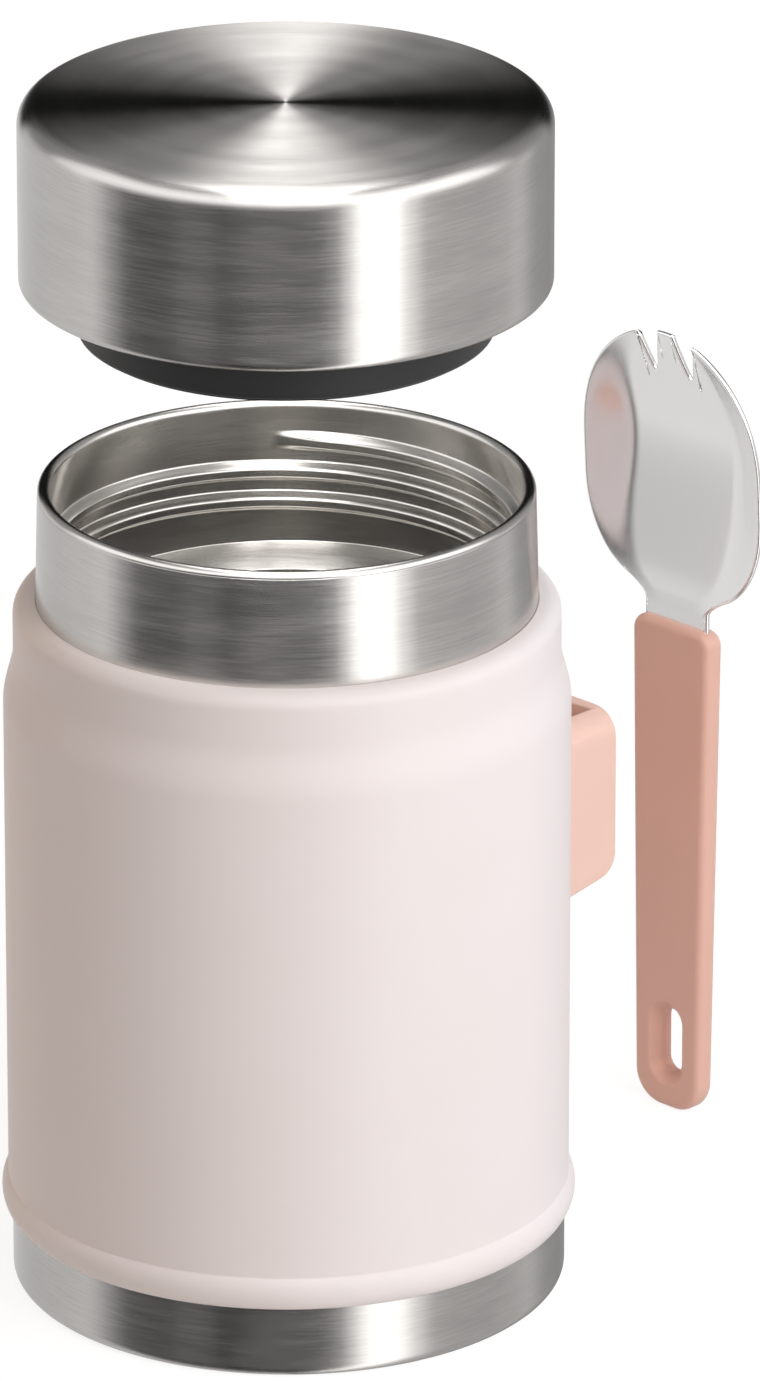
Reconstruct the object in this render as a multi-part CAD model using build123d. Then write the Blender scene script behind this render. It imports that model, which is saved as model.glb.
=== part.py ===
from build123d import *
import math
import os

# Insulated food jar with a screw lid, a spork and the loop that carries it.
# Origin at the centre of the base, +Z up, +X through the spork loop.
# Rest state: the lid is unscrewed and lifted straight above the mouth, and the
# spork stands on its end beside the loop.

os.makedirs("parts", exist_ok=True)

# ------------------------------------------------------------------ fits
SLIP = 0.05             # radial clearance between pieces pushed into each other
FACE = 0.02             # clearance of a moulded or spot-welded joint

# ------------------------------------------------------------------ jar: outer vessel
SHEET = 0.6             # stainless sheet of every jar wall
BODY_R = 44.2           # outside radius of the painted tube
BASE_H = 12.0           # bare steel base below the bead
BASE_ROUND = 1.8        # outside corner of the base
FOOT_W = 4.5            # width of the ring that the jar stands on
RECESS_H = 2.4          # height of the recess inside the foot ring
CUP_LAP = 6.0           # how far the base cup reaches into the tube above the bead
BEAD_H = 5.2            # rolled bead, height
BEAD_OUT = 1.0          # rolled bead, how far it stands proud
TUBE_H = 79.4           # straight tube from the bead to the flare
FLARE_H = 8.7           # height of the flare below the shoulder
SHOULDER_STEP = 1.6     # tube radius less shoulder radius
BAND_H = 5.6            # straight band of the shoulder
SHOULDER_ROUND = 2.5    # rounding at the top of the shoulder
COLLAR_STEP = 3.55      # shoulder radius less collar radius
COLLAR_H = 18.5         # shoulder top to the top of the rim
COLLAR_TAPER = 0.45     # how much the collar narrows towards the rim

# ------------------------------------------------------------------ jar: inner vessel
RIM_BAND = 2.0          # width of the rounded rim
LEDGE_IN = 5.6          # how far the sealing ledge reaches inwards
LEDGE_DEG = 25.0        # slope of the ledge
THROAT_H = 1.2          # straight throat under the ledge
BELLY_FLARE_H = 7.0     # height over which the throat opens into the belly
VACUUM_GAP = 4.1        # space between the two walls of the body
FLOOR_Z = 11.0          # inside floor above the ground
FLOOR_ROUND = 9.0       # inside corner between floor and wall
FOIL = 0.15             # reflective foil around the liner
FOIL_END = 8.0          # foil ends this far inside the straight belly

# ------------------------------------------------------------------ thread of neck and lid
PITCH = 5.0             # one start, right-handed
THREAD_DROP = 6.4       # rim to the middle of the first ridge
NECK_TURNS = 2.3
NECK_RIDGE_H = 1.6      # neck ridge, height inwards
NECK_RIDGE_BASE = 3.4
NECK_RIDGE_CREST = 1.0
THREAD_START_DEG = 50.0  # where the neck ridge begins, seen from above from +X
LID_TURNS = 1.7
LID_RIDGE_H = 1.7       # lid ridge, height outwards
LID_RIDGE_BASE = 3.0
LID_RIDGE_CREST = 1.8
THREAD_ROOM = 0.5       # lid ridge crest to the neck wall
RIDGE_SINK = 0.25       # how deep a ridge is rooted in its wall

# ------------------------------------------------------------------ vacuum port
PORT_R = 1.2            # evacuation hole in the base
PORT_DISH_R = 5.0       # dimple around it
PORT_DISH_H = 1.6
GETTER_R = 7.0          # getter disc under the liner floor
GETTER_T = 1.2
COVER_T = 0.6           # disc that covers the port

# ------------------------------------------------------------------ lid
LID_LIFT = 51.0         # how far the lid is lifted from closed
CAP_GAP = 0.8           # closed lid to the shoulder
CAP_STEP = 1.45         # shoulder radius less cap radius
CAP_H = 29.0
CAP_SHEET = 0.6
CAP_ROUND = 2.5         # top edge of the cap
CAP_CURL = 1.2          # rolled edge at the bottom
CURL_FLAT = 0.4         # flat lip after the roll
SLEEVE_T = 0.75         # plastic sleeve inside the cap
SLEEVE_UP = 1.35        # sleeve bottom above the cap's edge
RIM_ROOM = 1.3          # web above the rim when closed
WEB_T = 1.6             # web between the sleeve and the plug
PLUG_CORE_T = 2.0       # plug wall
PLUG_BELOW = 8.3        # plug below the cap's edge
SEAL_T = 2.3            # sealing ring, radial thickness
SEAL_IN = 2.2           # plug radius less sealing ring radius
SEAL_H = 6.5
SEAL_ROUND = 0.9
SEAL_LIP = 0.5          # plug lip under the ring
LIP_IN = 0.4            # lip set back from the ring's flat underside
SEAL_GAP = 0.3          # ring to the ledge before it is pressed
FLOOR_T = 1.6           # plug floor disc

# ------------------------------------------------------------------ spork loop
LOOP_W = 22.4           # across, along Y
LOOP_REACH = 18.8       # how far the outer face stands off the tube
LOOP_TOP = 79.4
LOOP_H = 31.1
LOOP_TOP_ROUND = 4.6    # upper corners, seen along X
LOOP_LOW_RISE = 3.6     # how much the underside rises outwards
LOOP_LOW_ROUND = 4.0    # rounding between the underside and the outer face
LOOP_WALL = 2.5         # outer wall
LOOP_EDGE = 0.7         # rounding of the outer face's edges
LOOP_ROOT = 3.0         # how far the loop's block starts inside the tube's radius
CUT_OVER = 1.0          # how far a cut runs past the face that it opens
SLOT_PLAY = 0.3         # play of the handle's lower end on each side
SLOT_FUNNEL = 0.4       # chamfer at the slot's mouth
RAIL_WEB_W = 6.0        # steel rail on the jar, T section
RAIL_HEAD_W = 10.0
RAIL_WEB_T = 1.4
RAIL_HEAD_T = 1.2
RAIL_H = 20.0
RAIL_PLAY = 0.15

# ------------------------------------------------------------------ spork
SPORK_GAP = 25.6        # the loop's outer face to the middle of the standing spork
HANDLE_H = 84.4         # handle length
HANDLE_TOP_W = 16.9
HANDLE_LOW_W = 14.0
HANDLE_T = 4.0
HANDLE_END_R = 5.5      # rounded lower corners
HANDLE_TOP_R = 2.6      # rounded upper corners
HANDLE_EDGE = 1.3       # rounding of the long edges
HANG_W = 4.4            # hanging slot
HANG_L = 11.4
HANG_UP = 5.6           # slot bottom above the handle's end
HANG_BEVEL = 1.6        # bevel around the slot on the bowl's side
CORNER_SHARE = 0.9      # largest corner radius, as a share of half the width
EDGE_SHARE = 0.45       # largest edge rounding, as a share of the thickness
BLADE_T = 1.0           # sheet of the blade
BLADE_NECK_W = 13.6
NECK_L = 3.6            # handle to the start of the head
NECK_LAP = 1.5          # how far the neck runs into the head
HEAD_L = 46.9
HEAD_W = 38.4
HEAD_SIDE_SHARE = [     # shares of half the width, and of the length where it is reached
    (0.66, 0.07), (0.86, 0.17), (0.98, 0.31), (1.0, 0.43),
    (0.95, 0.69), (0.69, 0.87), (0.4, 0.955)]
BOWL_DEPTH = 6.4
RIM_FLAT = 0.5          # flat rim around the bowl where it is widest
BOWL_RIM = 0.886        # rim half-width as a share of the bowl's ellipsoid
HEAD_PITCH_DEG = 5.0    # head leans towards the jar
TINE_NOTCH_Y = 3.9      # middle of each notch from the centre line
TINE_NOTCH_W = 4.4
TINE_NOTCH_L = 7.5
TINE_NOTCH_LEAN = 0.4   # foot of each notch, nearer the centre line than its middle
TANG_W = 9.0            # tang inside the handle
TANG_L = 55.0

# ------------------------------------------------------------------ heights and radii that follow
BEAD_TOP = BASE_H + BEAD_H
FLARE_Z = BEAD_TOP + TUBE_H
BAND_Z = FLARE_Z + FLARE_H
SHOULDER_Z = BAND_Z + BAND_H + SHOULDER_ROUND
RIM_Z = SHOULDER_Z + COLLAR_H
SHOULDER_R = BODY_R - SHOULDER_STEP
COLLAR_R = SHOULDER_R - COLLAR_STEP
COLLAR_TOP_R = COLLAR_R - COLLAR_TAPER
RIM_R = RIM_BAND / 2
SEAM_Z = RIM_Z - RIM_R
NECK_R = COLLAR_TOP_R - RIM_BAND
BASE_R = BODY_R - SHEET - SLIP
LINER_R = BODY_R - SHEET - VACUUM_GAP
CAP_Z = SHOULDER_Z + CAP_GAP + LID_LIFT
PLUG_R = NECK_R - THREAD_ROOM - LID_RIDGE_H
CAP_R = SHOULDER_R - CAP_STEP
SLEEVE_R = CAP_R - CAP_SHEET - SLIP
WEB_Z = RIM_Z + RIM_ROOM + LID_LIFT
PLUG_Z = CAP_Z - PLUG_BELOW
SEAL_R = PLUG_R - SEAL_IN
GROOVE_R = SEAL_R - SEAL_T
SEAL_TOP = PLUG_Z + SEAL_LIP + SEAL_H
# the ledge lies SEAL_GAP below the closed ring's rounded corner
LEDGE_SLOPE = math.tan(math.radians(LEDGE_DEG))
LEDGE_SHEET_DROP = math.tan(math.radians(45 - LEDGE_DEG / 2))
CORNER_R = SEAL_R - SEAL_ROUND
CORNER_Z = PLUG_Z - LID_LIFT + SEAL_LIP + SEAL_ROUND
LEDGE_LOW = (SEAL_ROUND + SEAL_GAP) / math.cos(math.radians(LEDGE_DEG))
LEDGE_Z = CORNER_Z + (NECK_R - CORNER_R) * LEDGE_SLOPE - LEDGE_LOW
THROAT_R = NECK_R - LEDGE_IN
THROAT_Z = LEDGE_Z - LEDGE_IN * LEDGE_SLOPE
BELLY_Z = THROAT_Z - THROAT_H - BELLY_FLARE_H
LOOP_OUT = BODY_R + LOOP_REACH
LOOP_LOW = LOOP_TOP - LOOP_H
SLOT_IN = LOOP_OUT - LOOP_WALL - HANDLE_T - 2 * SLOT_PLAY
SPORK_X = LOOP_OUT + SPORK_GAP
HEAD_Z = HANDLE_H + NECK_L


# ------------------------------------------------------------------ helpers
def ring_solid(outline):
    """Closed (radius, height) outline turned about the jar's axis."""
    return revolve(Plane.XZ * make_face(outline), Axis.Z)


def tube(r_out, r_in, z_low, z_high):
    outline = Polyline((r_in, z_low), (r_out, z_low), (r_out, z_high), (r_in, z_high), close=True)
    return ring_solid(outline)


def disc(radius, z_low, z_high):
    return Pos(0, 0, z_low) * Cylinder(radius, z_high - z_low, align=(Align.CENTER, Align.CENTER, Align.MIN))


def helix_ridge(wall_r, height, base_w, crest_w, z_top, turns, start_deg, outwards):
    """Trapezoid ridge on a round wall: a right-handed helix that falls from z_top.

    base_w is its width at the wall; the flanks run on to its root inside the wall.
    """
    way = 1 if outwards else -1
    path = Helix(PITCH, turns * PITCH, wall_r)
    root = -way * RIDGE_SINK
    half_root = base_w / 2 + (base_w - crest_w) / 2 * RIDGE_SINK / height
    section = Polyline(
        (root, -half_root), (way * height, -crest_w / 2),
        (way * height, crest_w / 2), (root, half_root), close=True)
    plane = Plane(origin=path @ 0, x_dir=(1, 0, 0), z_dir=path % 0)
    ridge = sweep(plane * make_face(section), path=path, is_frenet=True)
    low_deg = start_deg - turns * 360
    return Pos(0, 0, z_top - turns * PITCH) * Rot(0, 0, low_deg) * ridge


# ------------------------------------------------------------------ jar pieces
def outer_shell():
    """Painted tube with its bead, flare and shoulder: one drawn and spun sheet."""
    def wall(offset, z_end):
        r_body = BODY_R - offset
        r_band = SHOULDER_R - offset
        rounding = SHOULDER_ROUND - offset
        bead = ThreePointArc(
            (r_body, BASE_H), (r_body + BEAD_OUT, BASE_H + BEAD_H / 2), (r_body, BEAD_TOP))
        straight = Line((r_body, BEAD_TOP), (r_body, FLARE_Z))
        flare = Spline(
            (r_body, FLARE_Z), (r_band, BAND_Z), tangents=[(0, 1), (0, 1)])
        band = Line((r_band, BAND_Z), (r_band, z_end - rounding))
        corner = RadiusArc((r_band, z_end - rounding), (r_band - rounding, z_end), -rounding)
        return bead, straight, flare, band, corner

    hole_r = COLLAR_R + SLIP
    outside = wall(0, SHOULDER_Z)
    inside = wall(SHEET, SHOULDER_Z - SHEET)
    top = Polyline(
        (SHOULDER_R - SHOULDER_ROUND, SHOULDER_Z), (hole_r, SHOULDER_Z),
        (hole_r, SHOULDER_Z - SHEET), (SHOULDER_R - SHOULDER_ROUND, SHOULDER_Z - SHEET))
    foot = Line((BODY_R - SHEET, BASE_H), (BODY_R, BASE_H))
    return ring_solid([*outside, top, *inside, foot])


def neck_collar():
    """Bare steel collar, spot-welded under the shoulder by its flange."""
    flange_top = SHOULDER_Z - SHEET
    flange_r = SHOULDER_R - SHOULDER_ROUND - SLIP
    outline = Polyline(
        (COLLAR_TOP_R, SEAM_Z), (COLLAR_R, SHOULDER_Z), (COLLAR_R, flange_top),
        (flange_r, flange_top), (flange_r, flange_top - SHEET),
        (COLLAR_R - SHEET, flange_top - SHEET), (COLLAR_R - SHEET, SHOULDER_Z),
        (COLLAR_TOP_R - SHEET, SEAM_Z), close=True)
    return ring_solid(outline)


def liner_wall(offset):
    """Edges of the liner's profile, from the neck to the floor, offset outwards."""
    neck_r = NECK_R + offset
    ledge_z = LEDGE_Z - offset * LEDGE_SHEET_DROP
    throat_r = THROAT_R + offset
    throat_z = THROAT_Z - offset * LEDGE_SHEET_DROP
    throat_low = THROAT_Z - THROAT_H
    belly_r = LINER_R - SHEET + offset
    rounding = FLOOR_ROUND + offset
    floor_z = FLOOR_Z - offset
    return [
        Line((neck_r, SEAM_Z), (neck_r, ledge_z)),
        Line((neck_r, ledge_z), (throat_r, throat_z)),
        Line((throat_r, throat_z), (throat_r, throat_low)),
        Spline((throat_r, throat_low), (belly_r, BELLY_Z), tangents=[(0, -1), (0, -1)]),
        Line((belly_r, BELLY_Z), (belly_r, floor_z + rounding)),
        RadiusArc((belly_r, floor_z + rounding), (belly_r - rounding, floor_z), rounding),
        Line((belly_r - rounding, floor_z), (0, floor_z)),
    ]


def inner_liner():
    """Inner vessel: rounded rim welded to the collar, threaded neck, ledge, belly."""
    rim_mid = NECK_R + RIM_R
    rim = [
        ThreePointArc((NECK_R, SEAM_Z), (rim_mid, RIM_Z), (COLLAR_TOP_R, SEAM_Z)),
        Line((COLLAR_TOP_R, SEAM_Z), (COLLAR_TOP_R - SHEET, SEAM_Z)),
        ThreePointArc(
            (COLLAR_TOP_R - SHEET, SEAM_Z), (rim_mid, RIM_Z - SHEET), (NECK_R + SHEET, SEAM_Z)),
    ]
    axis_line = Line((0, FLOOR_Z - SHEET), (0, FLOOR_Z))
    vessel = ring_solid([*liner_wall(0), axis_line, *liner_wall(SHEET), *rim])
    ridge = helix_ridge(
        NECK_R, NECK_RIDGE_H, NECK_RIDGE_BASE, NECK_RIDGE_CREST,
        RIM_Z - THREAD_DROP, NECK_TURNS, THREAD_START_DEG, outwards=False)
    return vessel + ridge


def radiation_foil():
    """Copper foil wrapped around the liner inside the vacuum."""
    low = FLOOR_Z + FLOOR_ROUND + FOIL_END
    high = BELLY_Z - FOIL_END
    return tube(LINER_R + SLIP + FOIL, LINER_R + SLIP, low, high)


def base_cup():
    """Bare steel base that closes the outer vessel, with a foot ring and the vacuum port."""
    top = BEAD_TOP + CUP_LAP
    inner_r = BASE_R - SHEET
    foot_in = BASE_R - BASE_ROUND - FOOT_W
    floor_top = RECESS_H + SHEET
    dish_top = floor_top + PORT_DISH_H
    outside = [
        Line((BASE_R, top), (BASE_R, BASE_ROUND)),
        RadiusArc((BASE_R, BASE_ROUND), (BASE_R - BASE_ROUND, 0), BASE_ROUND),
        Polyline(
            (BASE_R - BASE_ROUND, 0), (foot_in, 0), (foot_in, RECESS_H), (PORT_DISH_R, RECESS_H),
            (PORT_R + SHEET, RECESS_H + PORT_DISH_H), (PORT_R, RECESS_H + PORT_DISH_H),
            (PORT_R, dish_top), (PORT_R + SHEET, dish_top), (PORT_DISH_R, floor_top),
            (foot_in + SHEET, floor_top), (foot_in + SHEET, SHEET), (BASE_R - BASE_ROUND, SHEET)),
        RadiusArc(
            (BASE_R - BASE_ROUND, SHEET), (inner_r, BASE_ROUND), -(BASE_ROUND - SHEET)),
        Polyline((inner_r, BASE_ROUND), (inner_r, top), (BASE_R, top)),
    ]
    return ring_solid(outside)


def seal_plug():
    """Bead of braze that closes the evacuation hole."""
    low = RECESS_H + PORT_DISH_H
    return disc(PORT_R - FACE, low, low + SHEET) + disc(PORT_R + SHEET, low - SHEET, low)


def base_cover():
    """Thin disc pressed into the foot ring over the vacuum port."""
    return disc(BASE_R - BASE_ROUND - FOOT_W - SLIP, RECESS_H - COVER_T, RECESS_H)


def getter_pad():
    """Getter disc fixed under the liner's floor."""
    top = FLOOR_Z - SHEET
    return disc(GETTER_R, top - GETTER_T, top)


# ------------------------------------------------------------------ spork loop
def loop_rail():
    """T rail, spot-welded to the shell; the loop slides down over it."""
    low = (LOOP_LOW + LOOP_TOP) / 2 - RAIL_H / 2
    mid = low + RAIL_H / 2
    web_out = BODY_R + RAIL_WEB_T
    web = Pos((web_out + BODY_R - SHEET) / 2, 0, mid) * Box(
        web_out - BODY_R + SHEET, RAIL_WEB_W, RAIL_H)
    head = Pos(web_out + RAIL_HEAD_T / 2, 0, mid) * Box(RAIL_HEAD_T, RAIL_HEAD_W, RAIL_H)
    return web + head - disc(BODY_R + FACE, low - CUT_OVER, low + RAIL_H + CUT_OVER)


def loop_block():
    """Outer form of the loop: flat sides, rounded upper corners, rising and rounded underside."""
    half = LOOP_W / 2
    back = BODY_R - LOOP_ROOT
    side = make_face(Polyline(
        (back, LOOP_LOW), (LOOP_OUT, LOOP_LOW + LOOP_LOW_RISE), (LOOP_OUT, LOOP_TOP),
        (back, LOOP_TOP), close=True))
    side = fillet(side.vertices().group_by(Axis.X)[-1].sort_by(Axis.Y)[0], LOOP_LOW_ROUND)
    block = extrude(Plane.XZ * side, half, both=True)
    corners = block.edges().filter_by(Axis.X).group_by(Axis.Z)[-1]
    block = fillet(corners, min(LOOP_TOP_ROUND, half * CORNER_SHARE))
    front = block.faces().filter_by(Axis.X).sort_by(Axis.X)[-1]
    return fillet(front.edges().sort_by(Axis.Z)[1:], LOOP_EDGE)


def spork_loop():
    """Moulded loop that the spork's handle slides into until its taper holds it."""
    slot_w = HANDLE_LOW_W + 2 * SLOT_PLAY
    slot_t = HANDLE_T + 2 * SLOT_PLAY
    slot_mid = SLOT_IN + slot_t / 2
    mid = (LOOP_LOW + LOOP_TOP) / 2
    slot = Pos(slot_mid, 0, mid) * Box(slot_t, slot_w, 2 * LOOP_H)
    mouth = Pos(slot_mid, 0, LOOP_TOP - SLOT_FUNNEL) * loft([
        Rectangle(slot_t, slot_w),
        Pos(0, 0, SLOT_FUNNEL) * Rectangle(slot_t + 2 * SLOT_FUNNEL, slot_w + 2 * SLOT_FUNNEL)])
    rail_top = mid + RAIL_H / 2
    groove_low = LOOP_LOW - CUT_OVER
    groove_top = rail_top + RAIL_PLAY
    groove_h = groove_top - groove_low
    groove_mid = (groove_top + groove_low) / 2
    web_out = BODY_R + RAIL_WEB_T
    web_in = BODY_R - LOOP_ROOT - CUT_OVER
    web = Pos((web_in + web_out) / 2, 0, groove_mid) * Box(
        web_out - web_in, RAIL_WEB_W + 2 * RAIL_PLAY, groove_h)
    head = Pos(web_out + RAIL_HEAD_T / 2, 0, groove_mid) * Box(
        RAIL_HEAD_T + 2 * RAIL_PLAY, RAIL_HEAD_W + 2 * RAIL_PLAY, groove_h)
    bore = disc(BODY_R + SLIP, LOOP_LOW - CUT_OVER, LOOP_TOP + CUT_OVER)
    return loop_block() - slot - mouth - web - head - bore


# ------------------------------------------------------------------ lid pieces
def lid_cap():
    """Bare steel cap, drawn in one piece, with a rolled lower edge."""
    top = CAP_Z + CAP_H
    inner_r = CAP_R - CAP_SHEET
    curl_in = CAP_R - CAP_CURL
    inner_round = CAP_ROUND - CAP_SHEET
    outline = [
        Line((0, top), (CAP_R - CAP_ROUND, top)),
        RadiusArc((CAP_R - CAP_ROUND, top), (CAP_R, top - CAP_ROUND), CAP_ROUND),
        Line((CAP_R, top - CAP_ROUND), (CAP_R, CAP_Z + CAP_CURL)),
        RadiusArc((CAP_R, CAP_Z + CAP_CURL), (curl_in, CAP_Z), CAP_CURL),
        Polyline(
            (curl_in, CAP_Z), (curl_in - CURL_FLAT, CAP_Z),
            (curl_in - CURL_FLAT, CAP_Z + CAP_SHEET), (curl_in, CAP_Z + CAP_SHEET)),
        RadiusArc(
            (curl_in, CAP_Z + CAP_SHEET), (inner_r, CAP_Z + CAP_CURL), -(CAP_CURL - CAP_SHEET)),
        Line((inner_r, CAP_Z + CAP_CURL), (inner_r, top - CAP_ROUND)),
        RadiusArc(
            (inner_r, top - CAP_ROUND), (inner_r - inner_round, top - CAP_SHEET), -inner_round),
        Polyline((inner_r - inner_round, top - CAP_SHEET), (0, top - CAP_SHEET), (0, top)),
    ]
    return ring_solid(outline)


def stopper_shell():
    """Black moulding: sleeve inside the cap, web over the rim, threaded plug."""
    sleeve_low = CAP_Z + SLEEVE_UP
    web_top = WEB_Z + WEB_T
    bore_r = PLUG_R - PLUG_CORE_T
    low_bore_r = GROOVE_R - PLUG_CORE_T / 2
    lip_r = CORNER_R - LIP_IN
    outline = Polyline(
        (SLEEVE_R, web_top), (SLEEVE_R, sleeve_low), (SLEEVE_R - SLEEVE_T, sleeve_low),
        (SLEEVE_R - SLEEVE_T, WEB_Z), (PLUG_R, WEB_Z), (PLUG_R, SEAL_TOP),
        (GROOVE_R, SEAL_TOP), (GROOVE_R, PLUG_Z + SEAL_LIP), (lip_r, PLUG_Z + SEAL_LIP),
        (lip_r, PLUG_Z), (low_bore_r, PLUG_Z), (low_bore_r, SEAL_TOP + PLUG_CORE_T),
        (bore_r, SEAL_TOP + 2 * PLUG_CORE_T), (bore_r, web_top), close=True)
    body = ring_solid(outline)
    ridge_top = RIM_Z - THREAD_DROP - PITCH / 2 + LID_LIFT
    turned = LID_LIFT / PITCH * 360
    ridge = helix_ridge(
        PLUG_R, LID_RIDGE_H, LID_RIDGE_BASE, LID_RIDGE_CREST,
        ridge_top, LID_TURNS, THREAD_START_DEG + turned, outwards=True)
    return body + ridge


def stopper_floor():
    """Disc welded into the lower end of the plug."""
    return disc(GROOVE_R - PLUG_CORE_T / 2 - SLIP, PLUG_Z, PLUG_Z + FLOOR_T)


def lid_insulation():
    """Foam that fills the plug and the top of the cap."""
    low_r = GROOVE_R - PLUG_CORE_T / 2 - SLIP
    bore_r = PLUG_R - PLUG_CORE_T - SLIP
    web_top = WEB_Z + WEB_T
    cap_top = CAP_Z + CAP_H - CAP_SHEET
    head_r = SLEEVE_R - CAP_ROUND + CAP_SHEET
    outline = Polyline(
        (0, PLUG_Z + FLOOR_T), (low_r, PLUG_Z + FLOOR_T), (low_r, SEAL_TOP + PLUG_CORE_T),
        (bore_r, SEAL_TOP + 2 * PLUG_CORE_T + SLIP), (bore_r, web_top), (head_r, web_top),
        (head_r, cap_top), (0, cap_top), close=True)
    return ring_solid(outline)


def lid_seal():
    """Silicone ring around the plug; its lower corner presses on the neck's ledge."""
    low = PLUG_Z + SEAL_LIP + FACE
    high = PLUG_Z + SEAL_LIP + SEAL_H - FACE
    inner = GROOVE_R + FACE
    outline = [
        Line((inner, high), (inner, low)),
        Line((inner, low), (SEAL_R - SEAL_ROUND, low)),
        RadiusArc((SEAL_R - SEAL_ROUND, low), (SEAL_R, low + SEAL_ROUND), -SEAL_ROUND),
        Line((SEAL_R, low + SEAL_ROUND), (SEAL_R, high)),
        Line((SEAL_R, high), (inner, high)),
    ]
    return ring_solid(outline)


# ------------------------------------------------------------------ spork
def hang_cut(width, length, z_low, depth):
    """Upright racetrack prism through the handle, seen along X."""
    mid = z_low + length / 2
    shape = Plane.YZ * Pos(0, mid) * SlotOverall(length, width, rotation=90)
    return extrude(shape, depth / 2, both=True)


def spork_handle():
    """Moulded handle, slightly narrower at its lower end, with a hanging slot."""
    top = HANDLE_TOP_W / 2
    low = HANDLE_LOW_W / 2
    outline = make_face(Polyline((-low, 0), (low, 0), (top, HANDLE_H), (-top, HANDLE_H), close=True))
    corners = outline.vertices().group_by(Axis.Y)
    outline = fillet(corners[0], min(HANDLE_END_R, low * CORNER_SHARE))
    outline = fillet(outline.vertices().group_by(Axis.Y)[-1], min(HANDLE_TOP_R, top * CORNER_SHARE))
    body = extrude(Plane.YZ * outline, HANDLE_T / 2, both=True)
    faces = body.faces().sort_by(Axis.X)
    body = fillet(faces[0].edges() + faces[-1].edges(), min(HANDLE_EDGE, HANDLE_T * EDGE_SHARE))
    slot = hang_cut(HANG_W, HANG_L, HANG_UP, 2 * HANDLE_T)
    wide = Plane.YZ.offset(-HANDLE_T / 2) * Pos(0, HANG_UP + HANG_L / 2)
    near = Plane.YZ.offset(HANG_BEVEL - HANDLE_T / 2) * Pos(0, HANG_UP + HANG_L / 2)
    bevel = loft([
        near * SlotOverall(HANG_L, HANG_W, rotation=90),
        wide * SlotOverall(HANG_L + 2 * HANG_BEVEL, HANG_W + 2 * HANG_BEVEL, rotation=90)])
    return Pos(SPORK_X, 0, 0) * (body - slot - bevel - tang(FACE))


def tang(play):
    """Strip of the blade that the handle is moulded around."""
    length = TANG_L + BLADE_T
    mid = HANDLE_H + BLADE_T - length / 2
    return Pos(0, 0, mid) * Box(BLADE_T + 2 * play, TANG_W + 2 * play, length + 2 * play)


def head_outline():
    """Face of the head and neck in the YZ plane, with two V notches for three tines."""
    half = HEAD_W / 2
    neck = BLADE_NECK_W / 2
    right = [(neck, 0)] + [(half * wide, HEAD_L * up) for wide, up in HEAD_SIDE_SHARE]
    left = [(-y, z) for y, z in right[::-1]]
    rim = Spline(*right, (0, HEAD_L), *left, tangents=[(1, 1), (1, -1)])
    face = make_face([rim, Line((-neck, 0), (neck, 0))])
    tip = HEAD_L + BLADE_T
    for way in (-1, 1):
        y = way * TINE_NOTCH_Y
        notch = Polyline(
            (y - TINE_NOTCH_W / 2, tip), (y - way * TINE_NOTCH_LEAN, HEAD_L - TINE_NOTCH_L),
            (y + TINE_NOTCH_W / 2, tip), close=True)
        face = face - make_face(notch)
    return face


def ellipsoid(half_x, half_y, half_z):
    """Ellipsoid whose poles lie on the Y axis, away from the head's ends."""
    return scale(Rot(90, 0, 0) * Sphere(1), by=(half_x, half_y, half_z))


def spork_blade():
    """Pressed blade: tang, neck and a shallow bowl with three short tines."""
    reach = math.sqrt(1 - BOWL_RIM ** 2)
    half_x = BOWL_DEPTH / (1 - reach)
    half_y = (HEAD_W / 2 - RIM_FLAT) / BOWL_RIM
    half_z = (HEAD_L / 2 - RIM_FLAT) / BOWL_RIM
    centre = Pos(-half_x * reach - BLADE_T / 2, 0, HEAD_L / 2)
    inner = centre * ellipsoid(half_x, half_y, half_z)
    outer = centre * ellipsoid(half_x + BLADE_T, half_y + BLADE_T, half_z + BLADE_T)
    face = Plane.YZ.offset(-BLADE_T / 2) * head_outline()
    dish = outer & extrude(face, BOWL_DEPTH + 2 * BLADE_T)
    head = extrude(face, BLADE_T) + dish - inner
    head = Pos(0, 0, HEAD_Z) * Rot(0, -HEAD_PITCH_DEG, 0) * head
    neck_low = HANDLE_H + FACE
    neck_high = HEAD_Z + NECK_LAP
    neck = Pos(0, 0, (neck_low + neck_high) / 2) * Box(BLADE_T, BLADE_NECK_W, neck_high - neck_low)
    return Pos(SPORK_X, 0, 0) * (head + neck + tang(0))


# ------------------------------------------------------------------ write the parts
PIECES = {
    "outer_shell": outer_shell, "neck_collar": neck_collar, "inner_liner": inner_liner,
    "radiation_foil": radiation_foil, "base_cup": base_cup, "base_cover": base_cover,
    "seal_plug": seal_plug, "getter_pad": getter_pad, "loop_rail": loop_rail,
    "spork_loop": spork_loop, "lid_cap": lid_cap, "stopper_shell": stopper_shell,
    "stopper_floor": stopper_floor, "lid_insulation": lid_insulation, "lid_seal": lid_seal,
    "spork_handle": spork_handle, "spork_blade": spork_blade,
}

for name, make in PIECES.items():
    export_step(make(), "parts/" + name + ".step")
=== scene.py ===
import math

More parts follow.
